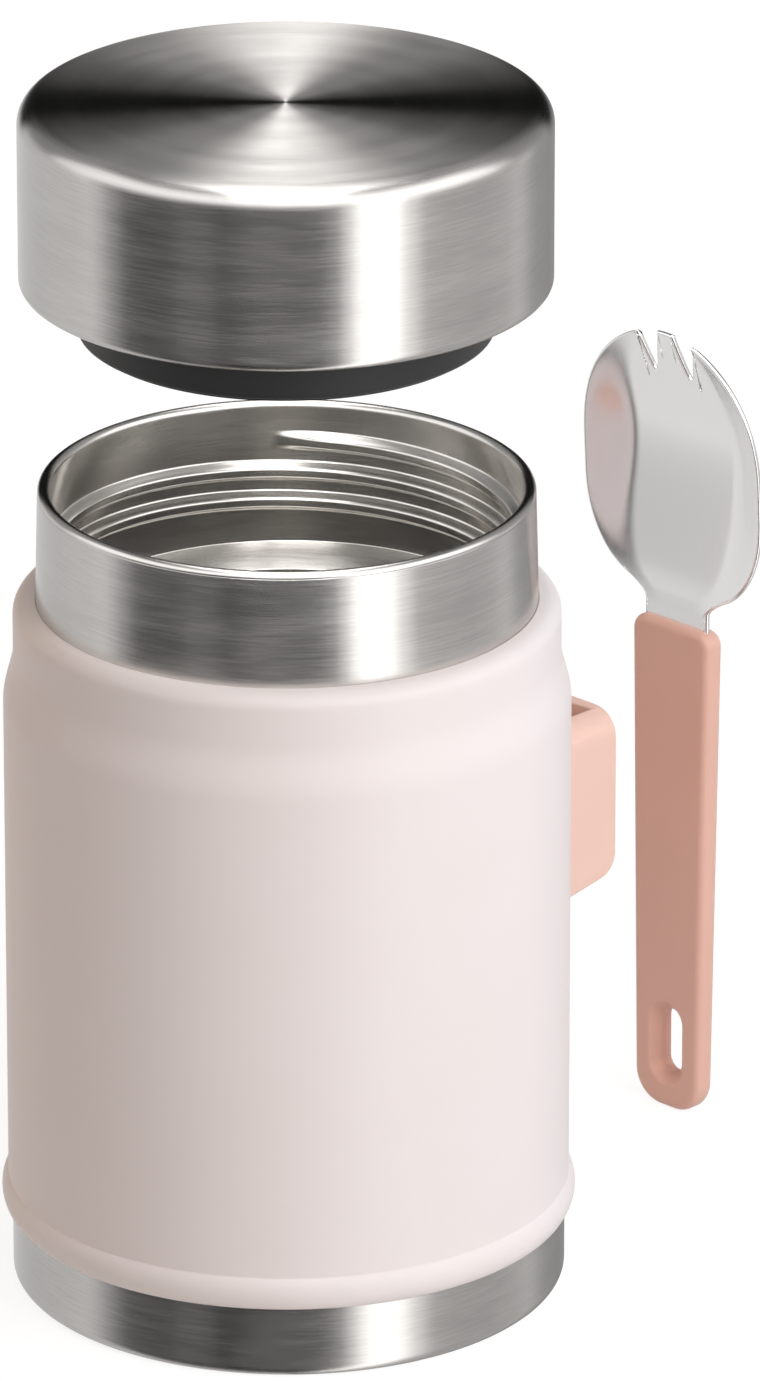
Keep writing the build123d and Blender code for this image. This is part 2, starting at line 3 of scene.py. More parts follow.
import bmesh
import bpy
import numpy as np
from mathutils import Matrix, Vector


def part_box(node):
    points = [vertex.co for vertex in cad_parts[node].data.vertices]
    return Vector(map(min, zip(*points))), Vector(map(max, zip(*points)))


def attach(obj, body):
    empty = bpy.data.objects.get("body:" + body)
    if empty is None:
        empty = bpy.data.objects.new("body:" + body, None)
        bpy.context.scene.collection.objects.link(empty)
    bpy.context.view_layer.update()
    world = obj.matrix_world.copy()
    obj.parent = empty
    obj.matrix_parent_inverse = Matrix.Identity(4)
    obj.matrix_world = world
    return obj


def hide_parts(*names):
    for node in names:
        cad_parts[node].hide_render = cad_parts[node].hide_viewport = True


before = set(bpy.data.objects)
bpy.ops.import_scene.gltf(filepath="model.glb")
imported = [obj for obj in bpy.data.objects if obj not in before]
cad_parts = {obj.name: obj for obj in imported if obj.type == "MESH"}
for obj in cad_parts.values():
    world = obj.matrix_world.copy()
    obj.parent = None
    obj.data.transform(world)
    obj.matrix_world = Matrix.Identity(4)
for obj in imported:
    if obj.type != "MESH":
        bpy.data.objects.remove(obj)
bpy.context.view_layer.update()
MM = 0.001

# ------------------------------------------------ outer shell
# The jar's outer tube: 0.6 mm stainless sheet, drawn, with a rolled bead at the foot, a gentle
# flare and a rounded shoulder spun over at the top. It is powder coated in pale pink, baked to a
# satin skin with a very fine orange peel.
SHEET = 0.6 * MM
BEAD_H = 5.2 * MM
BEAD_OUT = 1.0 * MM
FLARE_H = 8.7 * MM
SHOULDER_STEP = 1.6 * MM
SHOULDER_BAND_H = 5.6 * MM
SHOULDER_ROUND = 2.5 * MM
HOLE_STEP = 3.5 * MM
BEAD_POWER = 0.75
BEAD_STEPS = 33
FLARE_STEPS = 25
SPIN_STEPS = 256
CORNER_SUPPORT = 0.12 * MM
CORNER_SUPPORT_MOST = 0.3
SAME_POINT = 0.001 * MM


def line(start, end):
    """Straight stretch of a profile: its ends, and a point just inside each that keeps it flat."""
    start, end = np.array(start, float), np.array(end, float)
    length = np.linalg.norm(end - start)
    near = min(CORNER_SUPPORT / length, CORNER_SUPPORT_MOST)
    return start + np.outer([0, near, 1 - near, 1], end - start)


def arc(centre, radius, from_deg, to_deg, steps=8):
    """Round stretch of a profile: centre + radius (cos a, sin a), from one angle to the other."""
    angle = np.radians(np.linspace(from_deg, to_deg, steps + 1))
    return np.array(centre) + radius * np.column_stack([np.cos(angle), np.sin(angle)])


def joined(*stretches):
    """One profile from stretches that each start where the one before ends."""
    return np.concatenate([stretches[0]] + [stretch[1:] for stretch in stretches[1:]])


def corners(*points):
    """Straight stretches of a profile from corner to corner."""
    return joined(*[line(start, end) for start, end in zip(points, points[1:])])


def surface(name, grid, join_rows=False):
    """Mesh on a grid of points. Columns close round, and rows too if they are joined. Equal
    points become one, which closes poles, and every face then points out of the solid."""
    rows, columns = grid.shape[:2]
    index = np.arange(rows * columns).reshape(rows, columns)
    index = np.concatenate([index, index[:, :1]], axis=1)
    if join_rows:
        index = np.concatenate([index, index[:1]], axis=0)
    quads = np.stack([index[:-1, :-1], index[:-1, 1:], index[1:, 1:], index[1:, :-1]], axis=-1)
    mesh = bpy.data.meshes.new(name)
    mesh.from_pydata(grid.reshape(-1, 3), [], quads.reshape(-1, 4).tolist())
    work = bmesh.new()
    work.from_mesh(mesh)
    bmesh.ops.remove_doubles(work, verts=work.verts, dist=SAME_POINT)
    bmesh.ops.recalc_face_normals(work, faces=work.faces)
    work.to_mesh(mesh)
    work.free()
    mesh.shade_smooth()
    piece = bpy.data.objects.new(name, mesh)
    bpy.context.scene.collection.objects.link(piece)
    return piece


def spun(profile, swell=None):
    """Grid of a turned shape: the profile's (r, z) at angle t is (r cos t, r sin t, z), where
    swell, if given, adds to r at each (z, t)."""
    angle = np.linspace(0, 2 * np.pi, SPIN_STEPS, endpoint=False)
    radius = np.repeat(profile[:, :1], SPIN_STEPS, axis=1)
    height = np.repeat(profile[:, 1:], SPIN_STEPS, axis=1)
    if swell is not None:
        radius = radius + swell(height, np.broadcast_to(angle, height.shape))
    return np.stack([radius * np.cos(angle), radius * np.sin(angle), height], axis=-1)


def dress(piece, node_name, body, material):
    """Finishes a piece: it takes the material, stands in for a CAD node, which it hides, and moves
    with a body.
    """
    piece.data.materials.append(material)
    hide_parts(node_name)
    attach(piece, body)


def colour(hex_code, factor=1.0):
    """Linear RGBA of an sRGB hex value by the sRGB standard's curve, times a factor."""
    srgb = [int(hex_code[i:i + 2], 16) / 255 for i in (1, 3, 5)]
    linear = [c / 12.92 if c <= 0.04045 else ((c + 0.055) / 1.055) ** 2.4 for c in srgb]
    return [min(c * factor, 1.0) for c in linear] + [1.0]


def new_material(name):
    """Empty node material and its tree, with the shader and output joined."""
    material = bpy.data.materials.new(name)
    material.use_nodes = True
    return material, material.node_tree, material.node_tree.nodes["Principled BSDF"]


def feed(tree, target, links):
    """Joins each source to the target's socket of that name or number."""
    for key, source in links.items():
        tree.links.new(source, target.inputs[key])


def node(tree, kind, settings=None, links=None):
    """Adds a node. Settings are properties or sockets by name or number; links feed sockets."""
    made = tree.nodes.new(kind)
    for key, value in (settings or {}).items():
        if isinstance(key, int) or key in made.inputs:
            made.inputs[key].default_value = value
        else:
            setattr(made, key, value)
    feed(tree, made, links or {})
    return made


def noise(tree, size, detail, place=None):
    """Noise with features of a real size, on Object coordinates unless a place is given."""
    place = place or node(tree, "ShaderNodeTexCoord").outputs["Object"]
    return node(tree, "ShaderNodeTexNoise", {"Scale": 1 / size, "Detail": detail},
                {"Vector": place}).outputs["Fac"]


def two_tone(tree, low, high, share):
    """Colour between two tones, by a share from 0 to 1."""
    return node(tree, "ShaderNodeMix", {"data_type": "RGBA", 6: low, 7: high},
                {0: share}).outputs[2]


def spread(tree, middle, half, source):
    """Roughness of middle - half to middle + half, by a source from 0 to 1."""
    return node(tree, "ShaderNodeMapRange", {"To Min": middle - half, "To Max": middle + half},
                {"Value": source}).outputs["Result"]


def relief(tree, strength, depth, source):
    """Bump with a real depth."""
    return node(tree, "ShaderNodeBump", {"Strength": strength, "Distance": depth},
                {"Height": source}).outputs["Normal"]


def shell_wall(offset, low, high, body_r):
    """Profile of one side of the sheet, from the foot up to the spun-over top: a bead of
    r = body + out * cos(h pi / 2) ^ 0.75, with h from -1 to 1 over its height, then the tube,
    the flare, the band and an arc."""
    bead_z = np.linspace(-1, 1, BEAD_STEPS)
    bead = np.column_stack([
        body_r - offset + BEAD_OUT * np.cos(bead_z * np.pi / 2) ** BEAD_POWER,
        low + BEAD_H / 2 * (1 + bead_z)])
    flare_z = high - SHOULDER_ROUND - SHOULDER_BAND_H - FLARE_H
    s = np.linspace(0, 1, FLARE_STEPS)
    flare = np.column_stack([
        body_r - offset - SHOULDER_STEP * s * s * (3 - 2 * s), flare_z + FLARE_H * s])
    band_r = body_r - SHOULDER_STEP - offset
    tube = line((body_r - offset, low + BEAD_H), (body_r - offset, flare_z))
    band = line((band_r, flare_z + FLARE_H), (band_r, high - SHOULDER_ROUND))
    corner = arc((band_r - SHOULDER_ROUND + offset, high - SHOULDER_ROUND),
                 SHOULDER_ROUND - offset, 0, 90)
    return joined(bead, tube, flare, band, corner)


shell_low, shell_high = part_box("outer_shell")
body_r = shell_high.x - BEAD_OUT
shoulder_r = body_r - SHOULDER_STEP
hole_r = shoulder_r - HOLE_STEP
outside = shell_wall(0, shell_low.z, shell_high.z, body_r)
inside = shell_wall(SHEET, shell_low.z, shell_high.z, body_r)
shell_profile = np.concatenate([
    joined(outside, corners((shoulder_r - SHOULDER_ROUND, shell_high.z),
                            (hole_r, shell_high.z), (hole_r, shell_high.z - SHEET))),
    inside[::-1]])


def powder_coat():
    """Polyester powder coat, baked: a dielectric skin with fine orange peel that softens glints."""
    orange_peel, peel_depth, peel_strength = 1.2 * MM, 0.02 * MM, 0.12
    cloud_size = 22 * MM
    roughness, roughness_spread = 0.45, 0.05
    material, tree, shader = new_material("pink_powder_coat")
    peel = noise(tree, orange_peel, 2.0)
    cloud = noise(tree, cloud_size, 1.0)
    feed(tree, shader, {
        "Base Color": two_tone(tree, colour("#EADFDB"), colour("#ECE2DF"), cloud),
        "Roughness": spread(tree, roughness, roughness_spread, peel),
        "Normal": relief(tree, peel_strength, peel_depth, peel)})
    return material


outer_shell = surface("painted_shell", spun(shell_profile), join_rows=True)
dress(outer_shell, "outer_shell", "jar", powder_coat())

# ------------------------------------------------ neck collar
# A bare collar of the same sheet stands out of the shoulder. It is brushed round the axis, so
# its highlights run up and down and break into short hair lines.
COLLAR_TAPER = 0.45 * MM
BRUSH_LINE = 0.25 * MM
BRUSH_LENGTH = 7 * MM
BRUSH_DEPTH = 0.004 * MM
BRUSH_STRENGTH = 0.2
BRUSH_LOW, BRUSH_HIGH = 0.7, 1.3
STREAK_STRETCH = 0.22
STREAK_LONGER = 4
TONE_LOW, TONE_HIGH = 0.75, 1.25
LIGHT_HAIR = 1.12
FACE_SOFT = 1.5 * MM
QUARTER_TURN = 0.25
STEEL_ROUGH = 0.21
STEEL_SPREAD = 0.025
FLANGE_OUT = 1.0 * MM
WELD_ROOM = 0.05 * MM


def brushed_steel(name, tone, roughness, anisotropy, half_range, face_r=0.0, face_rougher=0.0):
    """Stainless steel brushed round the jar's axis. Hair lines follow (x, y) slowly and radius
    less height quickly, so they run round walls, rounded edges and end faces alike. They are
    drawn 0.25 mm wide, coarser than the real grit, so that they show. Within face_r of the axis
    the pad cut deeper, which adds face_rougher to the roughness."""
    material, tree, shader = new_material(name)
    place = node(tree, "ShaderNodeTexCoord").outputs["Object"]
    axes = node(tree, "ShaderNodeSeparateXYZ", links={0: place})
    flat = node(tree, "ShaderNodeVectorMath", {"operation": "MULTIPLY", 1: (1, 1, 0)}, {0: place})
    radius = node(tree, "ShaderNodeVectorMath", {"operation": "LENGTH"}, {0: flat.outputs[0]})
    across = node(tree, "ShaderNodeMath", {"operation": "SUBTRACT"},
                  {0: radius.outputs["Value"], 1: axes.outputs["Z"]})
    fine = node(tree, "ShaderNodeMath", {"operation": "MULTIPLY", 1: BRUSH_LENGTH / BRUSH_LINE},
                {0: across.outputs[0]})
    hair_place = node(tree, "ShaderNodeCombineXYZ",
                      links={0: axes.outputs["X"], 1: axes.outputs["Y"], 2: fine.outputs[0]})
    hair = noise(tree, BRUSH_LENGTH, 3.0, hair_place.outputs[0])
    streak_place = node(tree, "ShaderNodeVectorMath",
                        {"operation": "MULTIPLY", 1: (1, 1, STREAK_STRETCH)},
                        {0: hair_place.outputs[0]})
    streak = noise(tree, STREAK_LONGER * BRUSH_LENGTH, 2.0, streak_place.outputs[0])
    both = node(tree, "ShaderNodeMath", {"operation": "ADD"}, {0: hair, 1: streak}).outputs[0]
    both_thrice = node(tree, "ShaderNodeCombineXYZ", links={0: both, 1: both, 2: both})
    tint = node(tree, "ShaderNodeMapRange",
                {"data_type": "FLOAT_VECTOR", 7: (TONE_LOW,) * 3, 8: (TONE_HIGH,) * 3,
                 9: colour(tone)[:3], 10: colour(tone, LIGHT_HAIR)[:3]},
                {6: both_thrice.outputs[0]})
    rough = node(tree, "ShaderNodeMapRange",
                 {"From Min": BRUSH_LOW, "From Max": BRUSH_HIGH, "To Min": roughness - half_range,
                  "To Max": roughness + half_range}, {"Value": both})
    face = node(tree, "ShaderNodeMapRange",
                {"From Min": face_r, "From Max": face_r - FACE_SOFT, "To Max": face_rougher},
                {"Value": radius.outputs["Value"]})
    cut = node(tree, "ShaderNodeMath", {"operation": "ADD"},
               {0: rough.outputs["Result"], 1: face.outputs["Result"]})
    back_y = node(tree, "ShaderNodeMath", {"operation": "MULTIPLY", 1: -1.0},
                  {0: axes.outputs["Y"]})
    around = node(tree, "ShaderNodeCombineXYZ", links={0: back_y.outputs[0], 1: axes.outputs["X"]})
    unit = node(tree, "ShaderNodeVectorMath", {"operation": "NORMALIZE"}, {0: around.outputs[0]})
    tangent = node(tree, "ShaderNodeVectorTransform",
                   {"vector_type": "VECTOR", "convert_from": "OBJECT", "convert_to": "WORLD"},
                   {0: unit.outputs[0]})
    shader.inputs["Metallic"].default_value = 1.0
    shader.inputs["Anisotropic"].default_value = anisotropy
    shader.inputs["Anisotropic Rotation"].default_value = QUARTER_TURN
    feed(tree, shader, {"Base Color": tint.outputs[1], "Roughness": cut.outputs[0],
                        "Normal": relief(tree, BRUSH_STRENGTH, BRUSH_DEPTH, hair),
                        "Tangent": tangent.outputs[0]})
    return material


body_steel = brushed_steel("brushed_stainless", "#C6C3C0", STEEL_ROUGH, 1.0, STEEL_SPREAD)
collar_low, collar_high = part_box("neck_collar")
collar_out = hole_r - WELD_ROOM
collar_top_r = collar_out - COLLAR_TAPER
flange_top = shell_high.z - SHEET
flange_r = collar_out + FLANGE_OUT
collar_in = collar_out - SHEET
collar_profile = corners(
    (collar_top_r, collar_high.z), (collar_out, shell_high.z), (collar_out, flange_top),
    (flange_r, flange_top), (flange_r, collar_low.z), (collar_in, collar_low.z),
    (collar_in, shell_high.z), (collar_top_r - SHEET, collar_high.z))
neck_collar = surface("neck_collar_brushed", spun(collar_profile), join_rows=True)
dress(neck_collar, "neck_collar", "jar", body_steel)

# ------------------------------------------------ inner liner
# The inner vessel is welded to the collar under a rounded rim. Its neck carries a pressed
# one-start thread and a sealing ledge, and below them the belly opens out. Electropolished:
# bright, with only faint marks round the axis.
RIM_BAND = 2.0 * MM
THREAD_PITCH = 5.0 * MM
THREAD_DROP = 6.4 * MM
THREAD_TURNS = 2.3
THREAD_START_DEG = 50.0
RIDGE_H = 1.6 * MM
RIDGE_BASE = 3.4 * MM
RIDGE_CREST = 1.0 * MM
RIDGE_FADE_DEG = 16.0
LEDGE_DROP = 23.45 * MM
LEDGE_IN = 5.6 * MM
LEDGE_DEG = 25.0
THROAT_H = 1.2 * MM
BELLY_FLARE_H = 7.0 * MM
FLOOR_ROUND = 9.0 * MM
FLOOR_STEPS = 12
RIM_STEPS = 16
NECK_ROWS = 150
LINER_ROUGH, LINER_DRAWN, LINER_SPREAD = 0.22, 0.8, 0.02


def ridge_height(height, angle, top_z, turns, start_deg, ridge_h, base_w, crest_w):
    """Height of a helical ridge over a round wall at (z, t). Its middle falls one pitch per turn,
    clockwise, from top_z at the start angle; its flanks are smooth steps from base to crest,
    and its two ends fade out."""
    total = np.zeros(height.shape)
    for lap in range(math.ceil(turns) + 1):
        back_deg = (start_deg - np.degrees(angle)) % 360 + 360 * lap
        middle = top_z - THREAD_PITCH * back_deg / 360
        flank = (base_w / 2 - np.abs(height - middle)) / ((base_w - crest_w) / 2)
        flank = np.clip(flank, 0, 1)
        end = np.minimum(back_deg, turns * 360 - back_deg) / RIDGE_FADE_DEG
        end = np.clip(end, 0, 1)
        total = np.maximum(total, ridge_h * flank ** 2 * (3 - 2 * flank) * end ** 2 * (3 - 2 * end))
    return total


def liner_side(offset, neck_r, belly_r, floor_z, rim_z, rows):
    """Profile of one side of the liner from the axis out over the floor and up to the rim."""
    sheet_drop = offset * math.tan(math.radians(45 - LEDGE_DEG / 2))
    ledge_low = rim_z - LEDGE_DROP - LEDGE_IN * math.tan(math.radians(LEDGE_DEG))
    ledge_z = rim_z - LEDGE_DROP - sheet_drop
    throat_r = neck_r - LEDGE_IN + offset
    throat_z = ledge_low - sheet_drop
    throat_low = ledge_low - THROAT_H
    rounding = FLOOR_ROUND + offset
    low = floor_z - offset
    wall_r = belly_r + offset
    s = np.linspace(0, 1, FLARE_STEPS)
    open_out = np.column_stack([
        wall_r + (throat_r - wall_r) * s * s * (3 - 2 * s), throat_low - BELLY_FLARE_H * (1 - s)])
    return joined(
        corners((0, low), (wall_r - rounding, low)),
        arc((wall_r - rounding, low + rounding), rounding, -90, 0, FLOOR_STEPS),
        corners((wall_r, low + rounding), (wall_r, throat_low - BELLY_FLARE_H)),
        open_out,
        corners((throat_r, throat_low), (throat_r, throat_z), (neck_r + offset, ledge_z)),
        np.column_stack([np.full(rows, neck_r + offset),
                         np.linspace(ledge_z, rim_z - RIM_BAND / 2, rows)]))


liner_low, liner_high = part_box("inner_liner")
neck_r = collar_top_r - RIM_BAND
belly_r = liner_high.x - SHEET
rim_r = RIM_BAND / 2
seam_z = liner_high.z - rim_r
inner_side = liner_side(0, neck_r, belly_r, liner_low.z + SHEET, liner_high.z, NECK_ROWS)
outer_side = liner_side(SHEET, neck_r, belly_r, liner_low.z + SHEET, liner_high.z, 4)
liner_profile = np.concatenate([
    joined(inner_side, arc((neck_r + rim_r, seam_z), rim_r, 180, 0, RIM_STEPS)),
    joined(arc((neck_r + rim_r, seam_z), rim_r - SHEET, 0, 180, RIM_STEPS), outer_side[::-1])])


def liner_swell(height, angle):
    """The thread stands inwards from the neck's inner wall, which the first rows are."""
    rows = np.arange(height.shape[0])[:, None]
    inner = (rows >= len(inner_side) - NECK_ROWS) & (rows < len(inner_side))
    ridge = ridge_height(height, angle, liner_high.z - THREAD_DROP, THREAD_TURNS,
                         THREAD_START_DEG, RIDGE_H, RIDGE_BASE, RIDGE_CREST)
    return -ridge * inner


inner_liner = surface("liner_with_thread", spun(liner_profile, liner_swell))
dress(inner_liner, "inner_liner", "jar",
      brushed_steel("electropolished_stainless", "#D0CDC9", LINER_ROUGH, LINER_DRAWN,
                    LINER_SPREAD))

# ------------------------------------------------ radiation foil
# A wrap of thin copper foil lies on the liner inside the vacuum and throws the heat back. It is
# bright from rolling, and slightly crinkled from being wrapped.


def plain_metal(name, tone, roughness, grain, bump_mm):
    """Bare metal with an uneven surface: tone and roughness follow a noise of the given grain."""
    dark_share, half_range, strength = 0.86, 0.06, 0.5
    material, tree, shader = new_material(name)
    uneven = noise(tree, grain, 4.0)
    shader.inputs["Metallic"].default_value = 1.0
    feed(tree, shader, {
        "Base Color": two_tone(tree, colour(tone, dark_share), colour(tone), uneven),
        "Roughness": spread(tree, roughness, half_range, uneven),
        "Normal": relief(tree, strength, bump_mm * MM, uneven)})
    return material


def keep(node_name, material):
    """A CAD node whose shape is right stays, and takes this material on all its slots."""
    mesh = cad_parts[node_name].data
    mesh.materials.clear()
    mesh.materials.append(material)


keep("radiation_foil", plain_metal("copper_foil", "#E0A488", roughness=0.22, grain=6 * MM,
                                   bump_mm=0.08))

# ------------------------------------------------ base cup
# The foot of the jar is a separate cup, pressed into the tube and left bare. It stands on a
# ring, and the recess inside the ring holds the evacuation port. Brushed like the collar, but
# its steel is toned darker than the collar's: painted shade on the foot.
BASE_ROUND = 1.8 * MM
FOOT_W = 4.5 * MM
RECESS_H = 2.4 * MM
PORT_R = 1.2 * MM
PORT_DISH_R = 5.0 * MM
PORT_DISH_H = 1.6 * MM
FOOT_EDGE = 0.5 * MM

cup_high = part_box("base_cup")[1]
cup_r = cup_high.x
foot_out = cup_r - BASE_ROUND
foot_in = foot_out - FOOT_W
recess_top = RECESS_H + SHEET
dish_top = RECESS_H + PORT_DISH_H
cup_profile = joined(
    corners((cup_r, cup_high.z), (cup_r, BASE_ROUND)),
    arc((foot_out, BASE_ROUND), BASE_ROUND, 0, -90),
    corners((foot_out, 0), (foot_in + FOOT_EDGE, 0)),
    arc((foot_in + FOOT_EDGE, FOOT_EDGE), FOOT_EDGE, -90, -180, 4),
    corners((foot_in, FOOT_EDGE), (foot_in, RECESS_H), (PORT_DISH_R, RECESS_H),
            (PORT_R + SHEET, dish_top), (PORT_R, dish_top), (PORT_R, dish_top + SHEET),
            (PORT_R + SHEET, dish_top + SHEET), (PORT_DISH_R, recess_top),
            (foot_in + SHEET, recess_top), (foot_in + SHEET, SHEET), (foot_out, SHEET)),
    arc((foot_out, BASE_ROUND), BASE_ROUND - SHEET, -90, 0),
    corners((cup_r - SHEET, BASE_ROUND), (cup_r - SHEET, cup_high.z)))
base_cup = surface("base_cup_brushed", spun(cup_profile), join_rows=True)
# The foot's steel tone #BEBBB8, darker than the collar's, is painted shade.
dress(base_cup, "base_cup", "jar",
      brushed_steel("brushed_stainless_base_painted_shade", "#BEBBB8", STEEL_ROUGH, 1.0, STEEL_SPREAD))

# ------------------------------------------------ base cover
# A thin disc, stamped from stainless sheet and pressed into the foot ring, closes the recess over
# the port. A shallow ring is coined near its edge, and its lower edge is rounded.
COVER_EDGE = 0.2 * MM
COIN_R = 30.0 * MM
COIN_W = 1.6 * MM
COIN_DEPTH = 0.25 * MM
COIN_STEPS = 13


def disc(low, high, ring_r, ring_w, ring_h, ring_steps, edge, edge_steps):
    """Profile of a disc with a rounded lower edge and a round groove in its underside, which is
    ring_h * cos^2(w pi / 2) deep, with w from -1 to 1 over the groove's width."""
    w = np.linspace(-1, 1, ring_steps)
    ring = np.column_stack([ring_r + ring_w * w, low.z + ring_h * np.cos(w * np.pi / 2) ** 2])
    return joined(
        corners((0, low.z), (ring_r - ring_w, low.z)), ring,
        corners((ring_r + ring_w, low.z), (high.x - edge, low.z)),
        arc((high.x - edge, low.z + edge), edge, -90, 0, edge_steps),
        corners((high.x, low.z + edge), (high.x, high.z), (0, high.z)))


cover_profile = disc(*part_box("base_cover"), COIN_R, COIN_W, COIN_DEPTH, COIN_STEPS,
                     COVER_EDGE, 3)
base_cover = surface("base_cover_stamped", spun(cover_profile))
# The cover takes the foot's darker steel, so it carries the same painted shade.
dress(base_cover, "base_cover", "jar", base_cup.data.materials[0])

# ------------------------------------------------ vacuum pieces and rail
# Inside the walls: a bead of dull braze in the port, a sintered getter disc under the liner,
# and the plain rail, spot-welded to the tube, that the spork loop slides onto.
keep("seal_plug", plain_metal("braze", "#8A8681", roughness=0.55, grain=0.8 * MM,
                              bump_mm=0.05))
keep("getter_pad", plain_metal("sintered_getter", "#5E5E60", roughness=0.70, grain=0.5 * MM,
                               bump_mm=0.08))
keep("loop_rail", plain_metal("galvanised_steel", "#B4B4B2", roughness=0.42, grain=2.5 * MM,
                              bump_mm=0.02))

# ------------------------------------------------ spork loop
# The loop on the jar's side that the spork slides into: polypropylene, injection moulded in a
# rose colour, with the fine matt of a spark-eroded mould.


def matt_plastic(name, tone, roughness, sheen):
    """Moulded polypropylene: an even colour, a spark-eroded grain of 0.35 mm, drawn coarser than
    the real 0.1 mm, and a faint clouding of the colour where the melt flowed."""
    grain_size, grain_depth, grain_strength = 0.35 * MM, 0.015 * MM, 0.25
    flow_size, flow_dark = 14 * MM, 0.96
    half_range, ior = 0.05, 1.49
    material, tree, shader = new_material(name)
    grain = noise(tree, grain_size, 2.0)
    flow = noise(tree, flow_size, 1.0)
    shader.inputs["IOR"].default_value = ior
    shader.inputs["Sheen Weight"].default_value = sheen
    feed(tree, shader, {
        "Base Color": two_tone(tree, colour(tone, flow_dark), colour(tone), flow),
        "Roughness": spread(tree, roughness, half_range, grain),
        "Normal": relief(tree, grain_strength, grain_depth, grain)})
    return material


def smoothed_copy(name, node_name, sharp_deg, same_point=0.002 * MM):
    """Copy of a CAD node's mesh with its points joined, shaded smooth except at real corners."""
    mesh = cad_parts[node_name].data.copy()
    mesh.name = name
    mesh.materials.clear()
    work = bmesh.new()
    work.from_mesh(mesh)
    bmesh.ops.remove_doubles(work, verts=work.verts, dist=same_point)
    work.to_mesh(mesh)
    work.free()
    mesh.shade_smooth()
    mesh.set_sharp_from_angle(angle=math.radians(sharp_deg))
    piece = bpy.data.objects.new(name, mesh)
    bpy.context.scene.collection.objects.link(piece)
    weighted = piece.modifiers.new("even_shading", "WEIGHTED_NORMAL")
    weighted.keep_sharp = True
    weighted.weight = 90
    return piece


spork_loop = smoothed_copy("spork_loop_moulded", "spork_loop", sharp_deg=40)
dress(spork_loop, "spork_loop", "jar",
      matt_plastic("rose_loop_plastic", "#E9C2B2", roughness=0.50, sheen=0.1))

# ------------------------------------------------ lid cap
# The lid's outside is one drawn steel cap with a rounded top edge and a rolled lower edge. It
# was brushed while it turned, so the flat top flashes in a bow tie and the side in bars.
CAP_ROUND = 3.2 * MM
CAP_CURL = 1.2 * MM
CURL_FLAT = 0.4 * MM
ROUND_STEPS = 12
CURL_STEPS = 6
FACE_PAST_FLAT = 0.7
FACE_ROUGHER = 0.15

cap_low, cap_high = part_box("lid_cap")
cap_r = cap_high.x
curl_in = cap_r - CAP_CURL
curl_z = cap_low.z + CAP_CURL
flat_r = cap_r - CAP_ROUND
round_z = cap_high.z - CAP_ROUND
cap_profile = joined(
    corners((0, cap_high.z), (flat_r, cap_high.z)),
    arc((flat_r, round_z), CAP_ROUND, 90, 0, ROUND_STEPS),
    corners((cap_r, round_z), (cap_r, curl_z)),
    arc((curl_in, curl_z), CAP_CURL, 0, -90, CURL_STEPS),
    corners((curl_in, cap_low.z), (curl_in - CURL_FLAT, cap_low.z),
            (curl_in - CURL_FLAT, cap_low.z + SHEET), (curl_in, cap_low.z + SHEET)),
    arc((curl_in, curl_z), CAP_CURL - SHEET, -90, 0, CURL_STEPS),
    corners((cap_r - SHEET, curl_z), (cap_r - SHEET, round_z)),
    arc((flat_r, round_z), CAP_ROUND - SHEET, 0, 90, ROUND_STEPS),
    corners((flat_r, cap_high.z - SHEET), (0, cap_high.z - SHEET)))
lid_cap = surface("lid_cap_brushed", spun(cap_profile))
lid_steel = brushed_steel("brushed_stainless_lid", "#C6C3C0", STEEL_ROUGH, 1.0, STEEL_SPREAD,
                          flat_r + FACE_PAST_FLAT * CAP_ROUND, FACE_ROUGHER)
dress(lid_cap, "lid_cap", "lid", lid_steel)

# ------------------------------------------------ stopper
# The black moulding inside the cap: a sleeve, a web that closes over the rim, and a plug with
# the lid's half of the thread. A disc is welded into its lower end, and foam fills it.
SLEEVE_T = 0.75 * MM
WEB_DROP = 10.0 * MM
SLEEVE_UP = 1.35 * MM
PLUG_CORE_T = 2.0 * MM
PLUG_THREAD_ROOM = 0.5 * MM
PLUG_RIDGE_H = 1.7 * MM
PLUG_RIDGE_BASE = 3.0 * MM
PLUG_RIDGE_CREST = 1.8 * MM
PLUG_TURNS = 1.7
SEAL_LIP = 0.5 * MM
SEAL_H = 6.5 * MM
SEAL_IN = 2.2 * MM
SEAL_T = 2.3 * MM
SEAL_ROUND = 0.9 * MM
LIP_IN = 0.4 * MM
LID_LIFT = 51.0 * MM
EDGE = 0.3 * MM
PLUG_ROWS = 150

stopper_low, stopper_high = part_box("stopper_shell")
sleeve_r = stopper_high.x
web_z = cap_high.z - WEB_DROP
plug_r = neck_r - PLUG_THREAD_ROOM - PLUG_RIDGE_H
seal_r = plug_r - SEAL_IN
groove_r = seal_r - SEAL_T
lip_r = seal_r - SEAL_ROUND - LIP_IN
seal_low = stopper_low.z + SEAL_LIP
seal_high = seal_low + SEAL_H
sleeve_low = cap_low.z + SLEEVE_UP
bore_r = plug_r - PLUG_CORE_T
low_bore_r = groove_r - PLUG_CORE_T / 2
bore_z = seal_high + 2 * PLUG_CORE_T
plug_wall = np.column_stack([np.full(PLUG_ROWS, plug_r),
                             np.linspace(web_z, seal_high, PLUG_ROWS)])
sleeve_in = sleeve_r - SLEEVE_T
before_plug = corners((sleeve_r, stopper_high.z), (sleeve_r, sleeve_low), (sleeve_in, sleeve_low),
                      (sleeve_in, web_z), (plug_r + CORNER_SUPPORT, web_z))
stopper_profile = np.concatenate([before_plug, joined(
    plug_wall,
    corners((plug_r, seal_high), (groove_r, seal_high), (groove_r, seal_low), (lip_r, seal_low),
            (lip_r, stopper_low.z + EDGE)),
    arc((lip_r - EDGE, stopper_low.z + EDGE), EDGE, 0, -90, 4),
    corners((lip_r - EDGE, stopper_low.z), (low_bore_r, stopper_low.z),
            (low_bore_r, seal_high + PLUG_CORE_T), (bore_r, bore_z), (bore_r, stopper_high.z)))])


